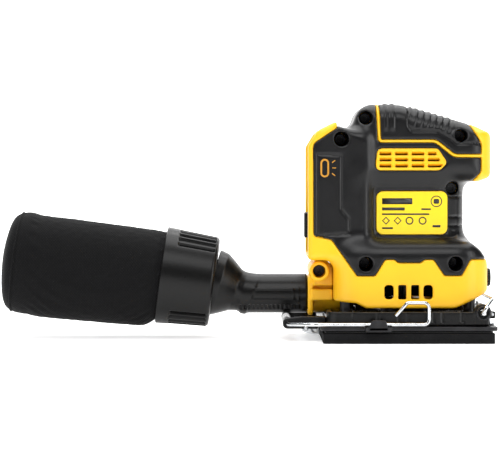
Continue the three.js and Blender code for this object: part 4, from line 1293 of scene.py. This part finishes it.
# ------------------------------------------------------------------ dust outlet and bag
def along_bag(g):
    """Distance from the bag's axis, and along it, for a grid."""
    x, y, z = g.x - BAG_ROOT.x, g.y, g.z - BAG_ROOT.z
    distance = x * BAG_AXIS.x + z * BAG_AXIS.z
    rise = -x * BAG_AXIS.z + z * BAG_AXIS.x
    return np.hypot(y, rise), distance


def dust_duct():
    low, high = box_of("dust_duct")
    profile = [(9, low[0]), (9.9, low[0]), (10.4, low[0] + 1.2)]
    profile += [(10.4, high[0]), (9, high[0])]
    shape = turned(profile, (0, 0, DUCT_Z), (1, 0, 0), 72)
    new_piece("dust_duct", shape, "plastic", "housing", ["dust_duct"], sharp=35)


def bag_neck():
    """Tube, funnel and flange that the collar turns on, with a grip of dimples below."""
    g = Grid((-127, -28, 2), (-60.5, 28, 64), 0.6)
    pipe = np.hypot(g.y, g.z - DUCT_Z)
    tube_field = slab(pipe - TUBE_R, np.maximum(-104 - g.x, g.x + 61.6), 0.6)
    start = np.array([-100.5, 0, DUCT_Z])
    axis = np.array([-19.4, 0, 6.4]) / math.hypot(19.4, 6.4)
    x, z = g.x - start[0], g.z - start[2]
    t = x * axis[0] + z * axis[2]
    spread_out = np.hypot(g.y, -x * axis[2] + z * axis[0])
    reach = np.interp(t, [-3, 3, 7, 13, 18, 24], [12.3, 12.5, 13.7, 17.6, 20.6, 21.4])
    funnel = blend_max((spread_out - reach) * 0.85, np.abs(t - 10.5) - 13.5, 0.5)
    radius, distance = along_bag(g)
    flange = slab(radius - 26.2, np.abs(distance - 3.1) - 1.5, 0.6)
    solid = blend_min(blend_min(tube_field, funnel, 3), flange, 2)
    solid = np.maximum(solid, distance - 4.6)
    for k in range(16):
        dimple = cuboid(g, (-106.6 + k * 2.72 - 0.7, -106.6 + k * 2.72 + 0.7), (-14, -8), (18.4, 21.6), 0.5)
        solid = cut(solid, np.maximum(dimple, -(pipe - TUBE_R + 0.7)), 0.4)
    frame_edge = outline_distance(rectangle((-98, -70.5), (24.4, 31.6), 0.6), g.x, g.z)
    raised = np.maximum(np.abs(frame_edge) - 0.45, np.maximum(pipe - TUBE_R - 0.45, g.y))
    solid = blend_min(solid, raised, 0.4)
    for line_x in (-101.4, -67.2):
        bar = np.maximum(np.abs(g.x - line_x) - 0.4, np.abs(g.z - 28) - 4.6)
        solid = blend_min(solid, np.maximum(bar, np.maximum(pipe - TUBE_R - 0.45, g.y)), 0.4)
    solid = cut(solid, np.maximum(pipe - DUCT_R - 0.3, -105 - g.x), 0.4)
    inner = np.maximum(spread_out - reach + 2, np.abs(t - 10.5) - 14)
    mouth = np.maximum(radius - 19, np.abs(distance - 2) - 4)
    solid = cut(solid, np.minimum(inner, mouth), 0.5)
    moulded("bag_neck", g, solid, "gloss", "bag_neck")


def droop(shape):
    """Lowers points behind the collar, as the bag's weight does."""
    points, faces = shape
    points = points.copy()
    points[:, 2] -= np.maximum(0, SAG_FROM_X - points[:, 0]) * SAG_SLOPE
    return points, faces


def hung(points):
    """Lowers the underside of the fabric, where the bag hangs below its frame."""
    across = points - np.array(BAG_ROOT)
    distance = across @ np.array(BAG_AXIS)
    rise = (across - np.outer(distance, np.array(BAG_AXIS)))[:, 2]
    points = points.copy()
    points[:, 2] -= BAG_HANG * np.maximum(0, -rise) * step_up(distance, 32, 40)
    return points


def pad_mask(angles, distance):
    """Where the collar's two finger pads are: 1 inside, 0 outside."""
    up = np.abs(np.abs(angles) - math.pi / 2)
    across = 1 - step_up(up, math.radians(44), math.radians(48))
    return across * (1 - step_up(distance, 24, 25.5)) * step_up(distance, 1.2, 2.2)


def bag_collar():
    """Ring that locks the bag to the neck, with ribbed finger pads above and below."""
    outer = [(23.4, -0.5), (26.8, -0.5), (27.7, -0.1), (28.4, 0.5), (28.9, 1.4)]
    for k in range(63):
        t = 2 + 0.5 * k
        outer.append((29 + 2 * (t - 1.8) / 31.7, t))
    outer += [(30.7, 33.3), (30.2, 33.5), (29, 33.5), (28.6, 28), (27, 4.8), (27, 1), (23.4, 1)]

    def grips(angles, reach, distance):
        if reach[0] < 28.8 or distance > 33:
            return reach
        angles = (angles - math.pi / 2 + math.pi) % (2 * math.pi) - math.pi
        mask = pad_mask(angles, distance)
        ridges = np.cos(angles * 18) ** 2
        return reach - mask * (1.7 - 1.5 * step_up(ridges, 0.35, 0.9))

    shape = droop(turned(outer, BAG_ROOT, BAG_AXIS, 360, shape=grips))
    new_piece("bag_collar", shape, "gloss", "bag", ["bag_collar"], sharp=35)
    profile = [(24, 5.4), (26.4, 5.4), (27, 16.5), (25.6, 16.5), (25.8, 31), (24, 31)]
    shape = droop(turned(profile, BAG_ROOT, BAG_AXIS, 96))
    new_piece("bag_mouth_frame", shape, "plastic", "bag", ["bag_mouth_frame"], sharp=30)
    profile = [(26.6, 119), (28.6, 119), (28.6, 123), (26.6, 123)]
    shape = droop(turned(profile, BAG_ROOT, BAG_AXIS, 96))
    new_piece("bag_end_hoop", shape, "plastic", "bag", ["bag_end_hoop"], sharp=30)


BAG_SIDES = 120
BAG_SEAM_AT = 126.6  # distance along the axis of the seam between tube and end panel
BAG_TIP_AT = 135.8
CLOTH_FRAMES = 26
BAG_HANG = 0.12  # how far the underside hangs, as a share of its depth below the axis
# The bag's outside along its axis, as (distance, radius)
BAG_PROFILE = [(18, 26.9), (33, 27.9), (34.6, 28.3), (37, 29), (60, 29.6), (90, 30.2)]
BAG_PROFILE += [(118, 30.5), (124, 30.3), (BAG_SEAM_AT, 29.4)]
END_PROFILE = [(128, 29), (130.6, 27.4), (132.6, 24), (134, 18), (135, 12), (135.6, 6)]


def relaxed(mesh_object, pinned, slack, cap_mm):
    """Settles a piece as cloth under its own weight, and applies the result. No point moves
    further than cap_mm."""
    scene = bpy.context.scene
    start = np.array([v.co for v in mesh_object.data.vertices])
    group = mesh_object.vertex_groups.new(name="pinned")
    group.add(pinned, 1.0, "REPLACE")
    cloth = mesh_object.modifiers.new("Cloth", "CLOTH")
    cloth.settings.quality = 6
    cloth.settings.mass = 0.15
    cloth.settings.tension_stiffness = 18
    cloth.settings.compression_stiffness = 18
    cloth.settings.bending_stiffness = 0.6
    cloth.settings.shrink_min = -slack
    cloth.settings.vertex_group_mass = "pinned"
    cloth.settings.use_pressure = True
    cloth.settings.uniform_pressure_force = 0.35
    cloth.collision_settings.use_collision = False
    scene.frame_start, scene.frame_end = 1, CLOTH_FRAMES
    cloth.point_cache.frame_start, cloth.point_cache.frame_end = 1, CLOTH_FRAMES
    for frame_number in range(1, CLOTH_FRAMES + 1):
        scene.frame_set(frame_number)
    evaluated = mesh_object.evaluated_get(bpy.context.evaluated_depsgraph_get())
    settled = np.array([v.co for v in evaluated.data.vertices])
    mesh_object.modifiers.remove(cloth)
    scene.frame_set(1)
    move = settled - start
    length = np.linalg.norm(move, axis=1)
    move *= np.minimum(1, cap_mm * MM / np.maximum(length, 1e-12))[:, None]
    mesh_object.data.vertices.foreach_set("co", (start + move).ravel())
    mesh_object.data.update()
    return (start + move) / MM


def dust_bag():
    """Knitted tube, held by the collar and the end hoop, that relaxes as cloth, and the stiffer
    end panel that is sewn to it."""
    side, up, along = basis(BAG_AXIS)
    angles = np.arange(BAG_SIDES) * 2 * math.pi / BAG_SIDES
    distances = np.concatenate([[18, 26], np.linspace(33, BAG_SEAM_AT, 58)])
    radii = np.interp(distances, *zip(*BAG_PROFILE))
    rng = np.random.default_rng(7)
    wander = rng.normal(0, 0.12, (len(distances), BAG_SIDES))
    rings = []
    for distance, radius, noise in zip(distances, radii, wander):
        reach = radius + (noise if 36 < distance < 118 else 0)
        ring = np.outer(reach * np.cos(angles), side) + np.outer(reach * np.sin(angles), up)
        rings.append(np.array(BAG_ROOT) + ring + along * distance)
    points, faces = droop(loft(rings, caps=False))
    points = hung(points)
    count = len(distances)
    held = [k for k in range(count) if distances[k] < 34.5 or distances[k] > 118.5]
    pinned = [k * BAG_SIDES + i for k in held for i in range(BAG_SIDES)]
    bag = new_piece("dust_bag", (points, faces), "knit", "bag", ["dust_bag"])
    points = relaxed(bag, pinned, bpy.context.scene.sander_sizes.bag_slack, 1.2)
    last = count - 1
    # the end panel, closed at its middle, shares the tube's last ring
    rings = [points[last * BAG_SIDES : (last + 1) * BAG_SIDES]]
    for distance, radius in END_PROFILE:
        ring = np.outer(radius * np.cos(angles), side) + np.outer(radius * np.sin(angles), up)
        rings.append(np.array(BAG_ROOT) + ring + along * distance)
    panel_points, panel_faces = loft(rings, caps=False)
    panel_points[BAG_SIDES:] = hung(droop((panel_points[BAG_SIDES:], None))[0])
    tip = droop((np.array([np.array(BAG_ROOT) + along * BAG_TIP_AT]), None))[0]
    base = len(panel_points) - BAG_SIDES
    panel_faces += [(base + i, base + (i + 1) % BAG_SIDES, len(panel_points)) for i in range(BAG_SIDES)]
    panel_points = np.concatenate([panel_points, tip])
    offset = last * BAG_SIDES
    everything = np.concatenate([points, panel_points[BAG_SIDES:]])
    for face in panel_faces:
        faces.append(tuple(int(i) + offset for i in face))
    mesh = bag.data
    mesh.clear_geometry()
    mesh.from_pydata((everything * MM).tolist(), [], [tuple(map(int, f)) for f in faces])
    mesh.validate()
    mesh.shade_smooth()
    thicken = bag.modifiers.new("Fabric thickness", "SOLIDIFY")
    thicken.thickness = 0.9 * MM
    thicken.offset = -1
    bag.modifiers.new("Smooth knit", "SUBSURF").levels = 1
    bag.modifiers["Smooth knit"].render_levels = 1

    bead = size_mm("seam_bead")
    end_ring = points[last * BAG_SIDES : (last + 1) * BAG_SIDES]
    new_piece("bag_end_piping", tube(end_ring, bead, 12, closed=True), "knit", "bag")
    seam_rings = np.arange(2, last) * BAG_SIDES
    seam_line = points[seam_rings + BAG_SIDES // 4]
    opposite = points[seam_rings + 3 * BAG_SIDES // 4]
    seam_line = seam_line + (seam_line - opposite) * 0.004
    new_piece("bag_side_seam", tube(seam_line, 0.7, 10), "knit", "bag")


# ------------------------------------------------------------------ platen and pad
def foam_pad():
    low, high = box_of("foam_pad")
    x, y = (low[0], high[0]), (low[1], high[1])
    pad = new_piece(
        "foam_pad",
        plate(rectangle(x, y, 2.5), low[2], high[2], 0.5),
        "foam",
        "platen",
        ["foam_pad"],
        sharp=40,
    )
    low, high = box_of("pad_backing")
    shape = plate(rectangle((low[0], high[0]), (low[1], high[1]), 2.2), low[2], high[2], 0.2)
    new_piece("pad_backing", shape, "gloss", "platen", ["pad_backing"], sharp=40)


def base_plate():
    """Pressed plate with an upright catch for each lever."""
    low, high = box_of("base_plate")
    top = 10.4
    half = 57
    outline = [
        (low[0], -half, 3),
        (-27.4, -half, 1),
        (-27.4, low[1], 1.5),
        (-10.8, low[1], 1.5),
        (-10.8, -half, 1),
        (high[0], -half, 3),
        (high[0], half, 3),
        (27.4, half, 1),
        (27.4, high[1], 1.5),
        (10.8, high[1], 1.5),
        (10.8, half, 1),
        (low[0], half, 3),
    ]
    parts = [plate(outline, low[2], top, 0.4)]
    for side, x in ((-1, (-25.2, -13)), (1, (13, 25.2))):
        upright = [(x[0], low[2] + 0.4), (x[1], low[2] + 0.4), (x[1] - 1.6, high[2]), (x[0] + 1.6, high[2])]
        upright = [(*corner, r) for corner, r in zip(upright, (0.5, 0.5, 1.8, 1.8))]
        y = sorted((side * 60.5, side * 61.9))
        parts.append(plate(upright, y[0], y[1], 0.35, "y"))
    new_piece("base_plate", joined(parts), "coated", "platen", ["base_plate"], sharp=40)


def platen_body():
    """Floor with a skirt, the pad bearing's hub, leg sockets, and the clamps' bosses and lugs."""
    g = Grid((-52, -54, 10), (56, 54, 26), 0.7)
    floor_z, skirt = 10.7, 19.3
    plan = outline_distance(rectangle((-50, 50), (-52, 52), 9), g.x, g.y)
    solid = slab(plan, np.maximum(floor_z - g.z, g.z - skirt), 0.8)
    solid = cut(solid, np.maximum(plan + 3, 13.7 - g.z), 0.6)
    hub = cylinder(g, "z", (0, 0), 14.5, floor_z, 19.6, 0.6)
    webs = []
    for angle in np.arange(8) * math.pi / 4 + math.pi / 8:
        across = np.abs(-math.sin(angle) * g.x + math.cos(angle) * g.y) - 0.9
        webs.append(np.maximum(np.maximum(across, g.z - 16.5), np.maximum(plan + 1, floor_z - g.z)))
    solid = fuse(solid, hub, *webs)
    for x, y in LEG_SPOTS:
        x = x - MOTOR_X
        solid = blend_min(solid, cylinder(g, "z", (x, y), 8.4, floor_z, 18.4, 0.5), 0.8)
        solid = cut(solid, cylinder(g, "z", (x, y), 6.6, 12, 30), 0.5)
    # upright flutes on the skirt
    for x in (-34, -19, -6, -0.5, 15.2, 20.8, 33):
        for side in (-1, 1):
            flute = cylinder(g, "z", (x, side * 52.6), 1.4, floor_z + 2, skirt + 1)
            solid = cut(solid, flute, 0.5)
    x, z = FRONT_PIVOT
    jaw_x, jaw_z = FRONT_JAW_PIVOT
    for side in (-1, 1):
        ends = sorted((side * 46.5, side * 52.6))
        boss = cylinder(g, "y", (x, z), 5.4, *ends, 0.7)
        block = cuboid(g, (x - 5, x + 3.6), ends, (floor_z, z), 0.7)
        solid = fuse(solid, boss, block)
        bore = sorted((side * 45, side * 60))
        solid = cut(solid, cylinder(g, "y", (x, z), 1.9, *bore), 0.4)
        lug = sorted((side * 41, side * 44))
        solid = np.minimum(solid, cuboid(g, (49, jaw_x + 2.2), lug, (jaw_z - 2.6, jaw_z + 1.9), 0.7))
        solid = cut(solid, cylinder(g, "y", (jaw_x, jaw_z), 1.25, -50, 50))
    solid = cut(solid, cylinder(g, "z", (0, 0), 11.3, 11.9, 40), 0.4)
    solid = cut(solid, cuboid(g, (-70, -40), (-20, 20), (14.2, 40), 1), 0.6)
    moulded("platen_body", g, solid, "plastic", "platen")


def rubber_legs():
    profile = [(0.01, 12.6), (4.4, 12.6), (5, 13.2), (5, 16.6), (4.6, 17.6), (4, 19), (3.8, 20.5)]
    profile += [(3.8, 24.5), (4, 26), (4.6, 27.2), (5, 28.2), (5, 37), (4.4, 37.6), (0.01, 37.6)]
    for i, (x, y) in enumerate(LEG_SPOTS):
        name = f"rubber_leg_{i + 1}"
        shape = turned(profile, (x, y, 0), (0, 0, 1), 40, closed=False)
        new_piece(name, shape, "rubber", "housing", [name], sharp=50)


# ------------------------------------------------------------------ paper clamps
LOOP = [
    (-8.7, -ARM_Y, 17.1),
    (-1.4, -ARM_Y, 25.5, 2.6),
    (12, -ARM_Y, 25.5, 3.4),
    (12, -ARM_Y, ARM_Z, 3.2),
]


def clamp_levers():
    radius = WIRE_R
    x, z = REAR_PIVOT
    rear = LOOP + [(-58, -ARM_Y, ARM_Z, 14), (x, -40, z, 9), (x, 37.5, z)]
    shape = tube(bend(rear), radius)
    new_piece("rear_clamp_lever", shape, "wire", "rear_lever", ["rear_clamp_lever"])
    profile = [(1.4, -28.6), (2.4, -28.6), (3, -28), (3, 28), (2.4, 28.6), (1.4, 28.6)]
    shape = turned(profile, (x, 0, z), (0, 1, 0), 40)
    new_piece("rear_clamp_roller", shape, "rubber", "rear_lever", ["rear_clamp_roller"], sharp=40)

    x, z = FRONT_PIVOT
    front = [(-a, -b, c, *r) for a, b, c, *r in LOOP] + [
        (36, ARM_Y, ARM_Z, 4),
        (x - 1, ARM_Y, z + 1, 3),
        (BOW[0], 50, BOW[1], 5),
        (BOW[0], -50, BOW[1], 5),
        (x + 1.5, -ARM_Y, z + 4, 3),
        (x, -ARM_Y, z),
    ]
    parts = [tube(bend(front), radius)]
    for side in (-1, 1):
        ends = np.array([[x, side * 47.8, z], [x, side * 53, z], [x, side * 59.6, z]])
        parts.append(tube(ends, 1.5, 24))
    new_piece("front_clamp_lever", joined(parts), "wire", "front_lever", ["front_clamp_lever"])


def rear_bracket():
    low, high = box_of("rear_clamp_bracket")
    g = Grid(low - 1, high + 1, 0.5)
    x, z = REAR_PIVOT
    outline = [
        (low[0], low[2], 3),
        (-55.6, low[2], 0.6),
        (-55.6, 10.7, 0.3),
        (high[0], 10.7, 0.4),
        (high[0], 15.6, 1),
        (-66, 15.6, 3),
        (low[0], z + 3.1, 3),
    ]
    flat = outline_distance(outline, g.x, g.z)
    half = np.abs(g.y)
    solid = slab(flat, np.abs(half - 33) - 3, 0.6)
    solid = blend_min(solid, cuboid(g, (-55.4, high[0]), (-33, 33), (10.7, 14), 0.5), 1)
    solid = cut(solid, cylinder(g, "y", (x, z), 1.4, -50, 50), 0.3)
    solid = cut(solid, cylinder(g, "y", REAR_JAW_PIVOT, 1.5, -50, 50), 0.3)
    moulded("rear_clamp_bracket", g, solid, "plastic", "platen")


def clamp_jaws():
    low, high = box_of("rear_clamp_jaw")
    g = Grid(low - 1, high + 1, 0.45)
    x, z = REAR_JAW_PIVOT
    outline = [
        (x - 2.6, z - 2.6, 2),
        (x + 3.6, 4, 1),
        (high[0], 4, 0.6),
        (high[0], 7.2, 0.4),
        (-55.8, 7.2, 0.3),
        (-55.8, 5.6, 0.4),
        (x + 4.6, 5.6, 1),
        (x + 2.6, z + 2.6, 2),
        (x - 2.6, z + 2.6, 2),
    ]
    flat = outline_distance(outline, g.x, g.z)
    solid = slab(flat, np.abs(g.y) - 29, 0.4)
    solid = cut(solid, cylinder(g, "y", (x, z), 1.5, -50, 50), 0.3)
    moulded("rear_clamp_jaw", g, solid, "zinc", "rear_jaw")

    low, high = box_of("front_clamp_jaw")
    g = Grid(low - 1, high + 1, 0.45)
    x, z = FRONT_JAW_PIVOT
    half = np.abs(g.y) - 40
    foot = np.maximum(cuboid(g, (x - 1.6, high[0]), (-40, 40), (10.7, 11.9), 0.4), half)
    web = cuboid(g, (x - 1.6, x - 0.4), (-40, 40), (10.7, z + 4), 0.4)
    barrel = cylinder(g, "y", (x, z), 2, -40, 40, 0.4)
    solid = blend_min(blend_min(foot, web, 0.8), barrel, 0.6)
    for y in (-24, 0, 24):
        solid = cut(solid, cuboid(g, (40, 60), (y - 6, y + 6), (15.2, 25), 1.2), 0.3)
    solid = cut(solid, cylinder(g, "y", (x, z), 1.3, -60, 60), 0.2)
    moulded("front_clamp_jaw", g, solid, "zinc", "front_jaw")


def pins_and_springs():
    for name, (x, z), radius in (
        ("rear_jaw_pin", REAR_JAW_PIVOT, 1.2),
        ("front_jaw_pin", FRONT_JAW_PIVOT, 1),
    ):
        low, high = box_of(name)
        line = np.array([[x, low[1], z], [x, 0, z], [x, high[1], z]])
        new_piece(name, tube(line, radius, 24), "zinc", "platen", [name])
    for name, (x, z), radius in (
        ("front_clamp_spring", FRONT_PIVOT, 3.9),
        ("rear_clamp_spring", REAR_JAW_PIVOT, 2.4),
    ):
        low, high = low_of(name)[1] + 0.45, high_of(name)[1] - 0.45
        turn = np.linspace(0, 2.5 * 2 * math.pi, 90)
        line = np.stack(
            [x + radius * np.cos(turn), np.linspace(low, high, 90), z + radius * np.sin(turn)], 1
        )
        new_piece(name, tube(line, 0.45, 12), "coated", "platen", [name])


# Nodes inside the sander that are kept as they are, and their looks
KEPT_NODES = {
    "stator_core": "lamination",
    "rotor_core": "lamination",
    "lower_winding": "copper",
    "upper_winding": "copper",
    "lower_bearing": "zinc",
    "upper_bearing": "zinc",
    "pad_bearing": "zinc",
    "motor_shaft": "zinc",
    "counterweight": "coated",
    "dust_fan": "plastic",
    "control_module": "board",
    "switch_module": "plastic",
    "positive_lead": "red",
    "negative_lead": "plastic",
}


def finish_kept_nodes():
    for name, look in KEPT_NODES.items():
        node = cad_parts[name]
        node.data.materials.clear()
        node.data.materials.append(material(look))


# ------------------------------------------------------------------ stage
def backdrop():
    """A pale floor that sweeps up behind the sander."""
    floor = bpy.data.materials.new("Pale matt backdrop")
    floor.use_nodes = True
    shader = floor.node_tree.nodes["Principled BSDF"]
    shader.inputs["Base Color"].default_value = (*bpy.context.scene.sander_stage.floor, 1)
    shader.inputs["Roughness"].default_value = 0.9
    shader.inputs["Emission Color"].default_value = (1, 1, 1, 1)
    shader.inputs["Emission Strength"].default_value = 0.42
    line = [(-3.5, 0), (2.8, 0)]
    line += [(2.8 + 0.8 * math.sin(a), 0.8 - 0.8 * math.cos(a)) for a in np.linspace(0.1, 1.5, 12)]
    line += [(3.6, 4)]
    points = [(x, y, z) for y, z in line for x in (-5, 5)]
    faces = [(2 * k, 2 * k + 1, 2 * k + 3, 2 * k + 2) for k in range(len(line) - 1)]
    mesh = bpy.data.meshes.new("backdrop")
    mesh.from_pydata(points, [], faces)
    mesh.shade_smooth()
    mesh.materials.append(floor)
    made = bpy.data.objects.new("backdrop", mesh)
    bpy.context.scene.collection.objects.link(made)


def soft_light(name, power, size, place, aim):
    data = bpy.data.lights.new(name, "AREA")
    data.shape = "RECTANGLE"
    data.size, data.size_y = size
    data.energy = power
    made = bpy.data.objects.new(name, data)
    made.location = place
    made.rotation_euler = (Vector(aim) - Vector(place)).to_track_quat("-Z", "Y").to_euler()
    bpy.context.scene.collection.objects.link(made)


def lights_and_camera():
    stage = bpy.context.scene.sander_stage
    middle = (-0.098, 0, 0.0719)
    key = stage.key
    soft_light("key", key, (1.3, 0.8), (-0.25, -1.15, 1.3), middle)
    soft_light("overhead", key * 1.1, (1.8, 0.7), (-0.1, 0.1, 1.2), middle)
    soft_light("right", key * 0.6, (0.35, 1.1), (1.15, -0.75, 0.5), middle)
    soft_light("left", key * 0.3, (0.35, 1.1), (-1.35, -0.6, 0.5), middle)
    soft_light("wall", key * 8, (4, 1.2), (-0.1, 1.7, 2.4), (-0.1, 3.2, 0.2))
    world = bpy.data.worlds.new("dim studio")
    bpy.context.scene.world = world
    world.use_nodes = True
    background = world.node_tree.nodes["Background"]
    background.inputs["Color"].default_value = (1, 1, 1, 1)
    background.inputs["Strength"].default_value = 0.03
    bpy.context.scene.view_settings.view_transform = "Standard"

    data = bpy.data.cameras.new("camera")
    data.sensor_width = 36
    data.lens = 157.5
    data.clip_end = 20
    camera = bpy.data.objects.new("camera", data)
    offset = Vector((0, -math.cos(stage.elevation), math.sin(stage.elevation)))
    camera.location = Vector(middle) + offset * stage.distance
    camera.rotation_euler = (-offset).to_track_quat("-Z", "Y").to_euler()
    bpy.context.scene.collection.objects.link(camera)
    bpy.context.scene.camera = camera


# ------------------------------------------------------------------ operators and panel
class SANDER_OT_shells(bpy.types.Operator):
    """Right and left moulded shells"""

    bl_idname = "sander.shells"
    bl_label = "Housing shells"

    def execute(self, context):
        housing_shells()
        return {"FINISHED"}


class SANDER_OT_outlet(bpy.types.Operator):
    """Yellow outlet block and the battery bay's wall"""

    bl_idname = "sander.outlet"
    bl_label = "Outlet block"

    def execute(self, context):
        dust_outlet()
        battery_receiver()
        return {"FINISHED"}


class SANDER_OT_rubber(bpy.types.Operator):
    """Overmoulded rubber of both sides and the palm"""

    bl_idname = "sander.rubber"
    bl_label = "Rubber grips"

    def execute(self, context):
        rubber_pieces()
        return {"FINISHED"}


class SANDER_OT_vents(bpy.types.Operator):
    """Slotted inserts at both sides"""

    bl_idname = "sander.vents"
    bl_label = "Vent grilles"

    def execute(self, context):
        vent_grilles()
        return {"FINISHED"}


class SANDER_OT_marks(bpy.types.Operator):
    """Rating plate and printed marks"""

    bl_idname = "sander.marks"
    bl_label = "Plate and marks"

    def execute(self, context):
        rating_plate()
        foot_mark()
        return {"FINISHED"}


class SANDER_OT_screws(bpy.types.Operator):
    """Screws in their recesses"""

    bl_idname = "sander.screws"
    bl_label = "Housing screws"

    def execute(self, context):
        screws()
        return {"FINISHED"}


class SANDER_OT_controls(bpy.types.Operator):
    """Power button and speed dial"""

    bl_idname = "sander.controls"
    bl_label = "Controls"

    def execute(self, context):
        power_button()
        speed_dial()
        return {"FINISHED"}


class SANDER_OT_terminals(bpy.types.Operator):
    """Terminal block and contacts"""

    bl_idname = "sander.terminals"
    bl_label = "Battery terminals"

    def execute(self, context):
        terminal_block()
        return {"FINISHED"}


class SANDER_OT_neck(bpy.types.Operator):
    """Duct and the bag's neck"""

    bl_idname = "sander.neck"
    bl_label = "Dust outlet"

    def execute(self, context):
        dust_duct()
        bag_neck()
        return {"FINISHED"}


class SANDER_OT_collar(bpy.types.Operator):
    """Collar, mouth frame and end hoop"""

    bl_idname = "sander.collar"
    bl_label = "Bag collar"

    def execute(self, context):
        bag_collar()
        return {"FINISHED"}


class SANDER_OT_bag(bpy.types.Operator):
    """Knitted bag, settled as cloth"""

    bl_idname = "sander.bag"
    bl_label = "Dust bag"

    def execute(self, context):
        dust_bag()
        return {"FINISHED"}


class SANDER_OT_pad(bpy.types.Operator):
    """Foam pad, backing and base plate"""

    bl_idname = "sander.pad"
    bl_label = "Pad"

    def execute(self, context):
        foam_pad()
        base_plate()
        return {"FINISHED"}


class SANDER_OT_platen(bpy.types.Operator):
    """Platen body and rubber legs"""

    bl_idname = "sander.platen"
    bl_label = "Platen"

    def execute(self, context):
        platen_body()
        rubber_legs()
        return {"FINISHED"}


class SANDER_OT_levers(bpy.types.Operator):
    """Wire levers and the roller"""

    bl_idname = "sander.levers"
    bl_label = "Clamp levers"

    def execute(self, context):
        clamp_levers()
        return {"FINISHED"}


class SANDER_OT_jaws(bpy.types.Operator):
    """Bracket, jaws, pins, springs"""

    bl_idname = "sander.jaws"
    bl_label = "Clamp jaws"

    def execute(self, context):
        rear_bracket()
        clamp_jaws()
        pins_and_springs()
        return {"FINISHED"}


class SANDER_OT_inside(bpy.types.Operator):
    """Finishes of the inner pieces"""

    bl_idname = "sander.inside"
    bl_label = "Motor and electrics"

    def execute(self, context):
        finish_kept_nodes()
        return {"FINISHED"}


class SANDER_OT_stage(bpy.types.Operator):
    """Backdrop, lights and camera"""

    bl_idname = "sander.stage"
    bl_label = "Stage"

    def execute(self, context):
        backdrop()
        lights_and_camera()
        return {"FINISHED"}


# In the order in which they run
OPERATORS = [
    SANDER_OT_shells,
    SANDER_OT_outlet,
    SANDER_OT_rubber,
    SANDER_OT_vents,
    SANDER_OT_marks,
    SANDER_OT_screws,
    SANDER_OT_controls,
    SANDER_OT_terminals,
    SANDER_OT_neck,
    SANDER_OT_collar,
    SANDER_OT_bag,
    SANDER_OT_pad,
    SANDER_OT_platen,
    SANDER_OT_levers,
    SANDER_OT_jaws,
    SANDER_OT_inside,
    SANDER_OT_stage,
]


class SANDER_PT_pieces(bpy.types.Panel):
    """Lists the sander's pieces and settings."""

    bl_idname = "SANDER_PT_pieces"
    bl_label = "Orbital sander"
    bl_space_type = "VIEW_3D"
    bl_region_type = "UI"
    bl_category = "Sander"

    def draw(self, context):
        scene = context.scene
        for settings in (scene.sander_colours, scene.sander_sizes, scene.sander_stage):
            box = self.layout.box()
            for name in settings.__annotations__:
                box.prop(settings, name)
        for operator in OPERATORS:
            self.layout.operator(operator.bl_idname)


CLASSES = [SanderColours, SanderSizes, SanderStage, *OPERATORS, SANDER_PT_pieces]


def register():
    for made in CLASSES:
        bpy.utils.register_class(made)
    bpy.types.Scene.sander_colours = bpy.props.PointerProperty(type=SanderColours)
    bpy.types.Scene.sander_sizes = bpy.props.PointerProperty(type=SanderSizes)
    bpy.types.Scene.sander_stage = bpy.props.PointerProperty(type=SanderStage)


def unregister():
    del bpy.types.Scene.sander_stage
    del bpy.types.Scene.sander_sizes
    del bpy.types.Scene.sander_colours
    for made in reversed(CLASSES):
        bpy.utils.unregister_class(made)


def main():
    register()
    for operator in OPERATORS:
        getattr(bpy.ops.sander, operator.bl_idname.split(".")[1])()
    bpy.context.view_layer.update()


if __name__ == "__main__":
    main()
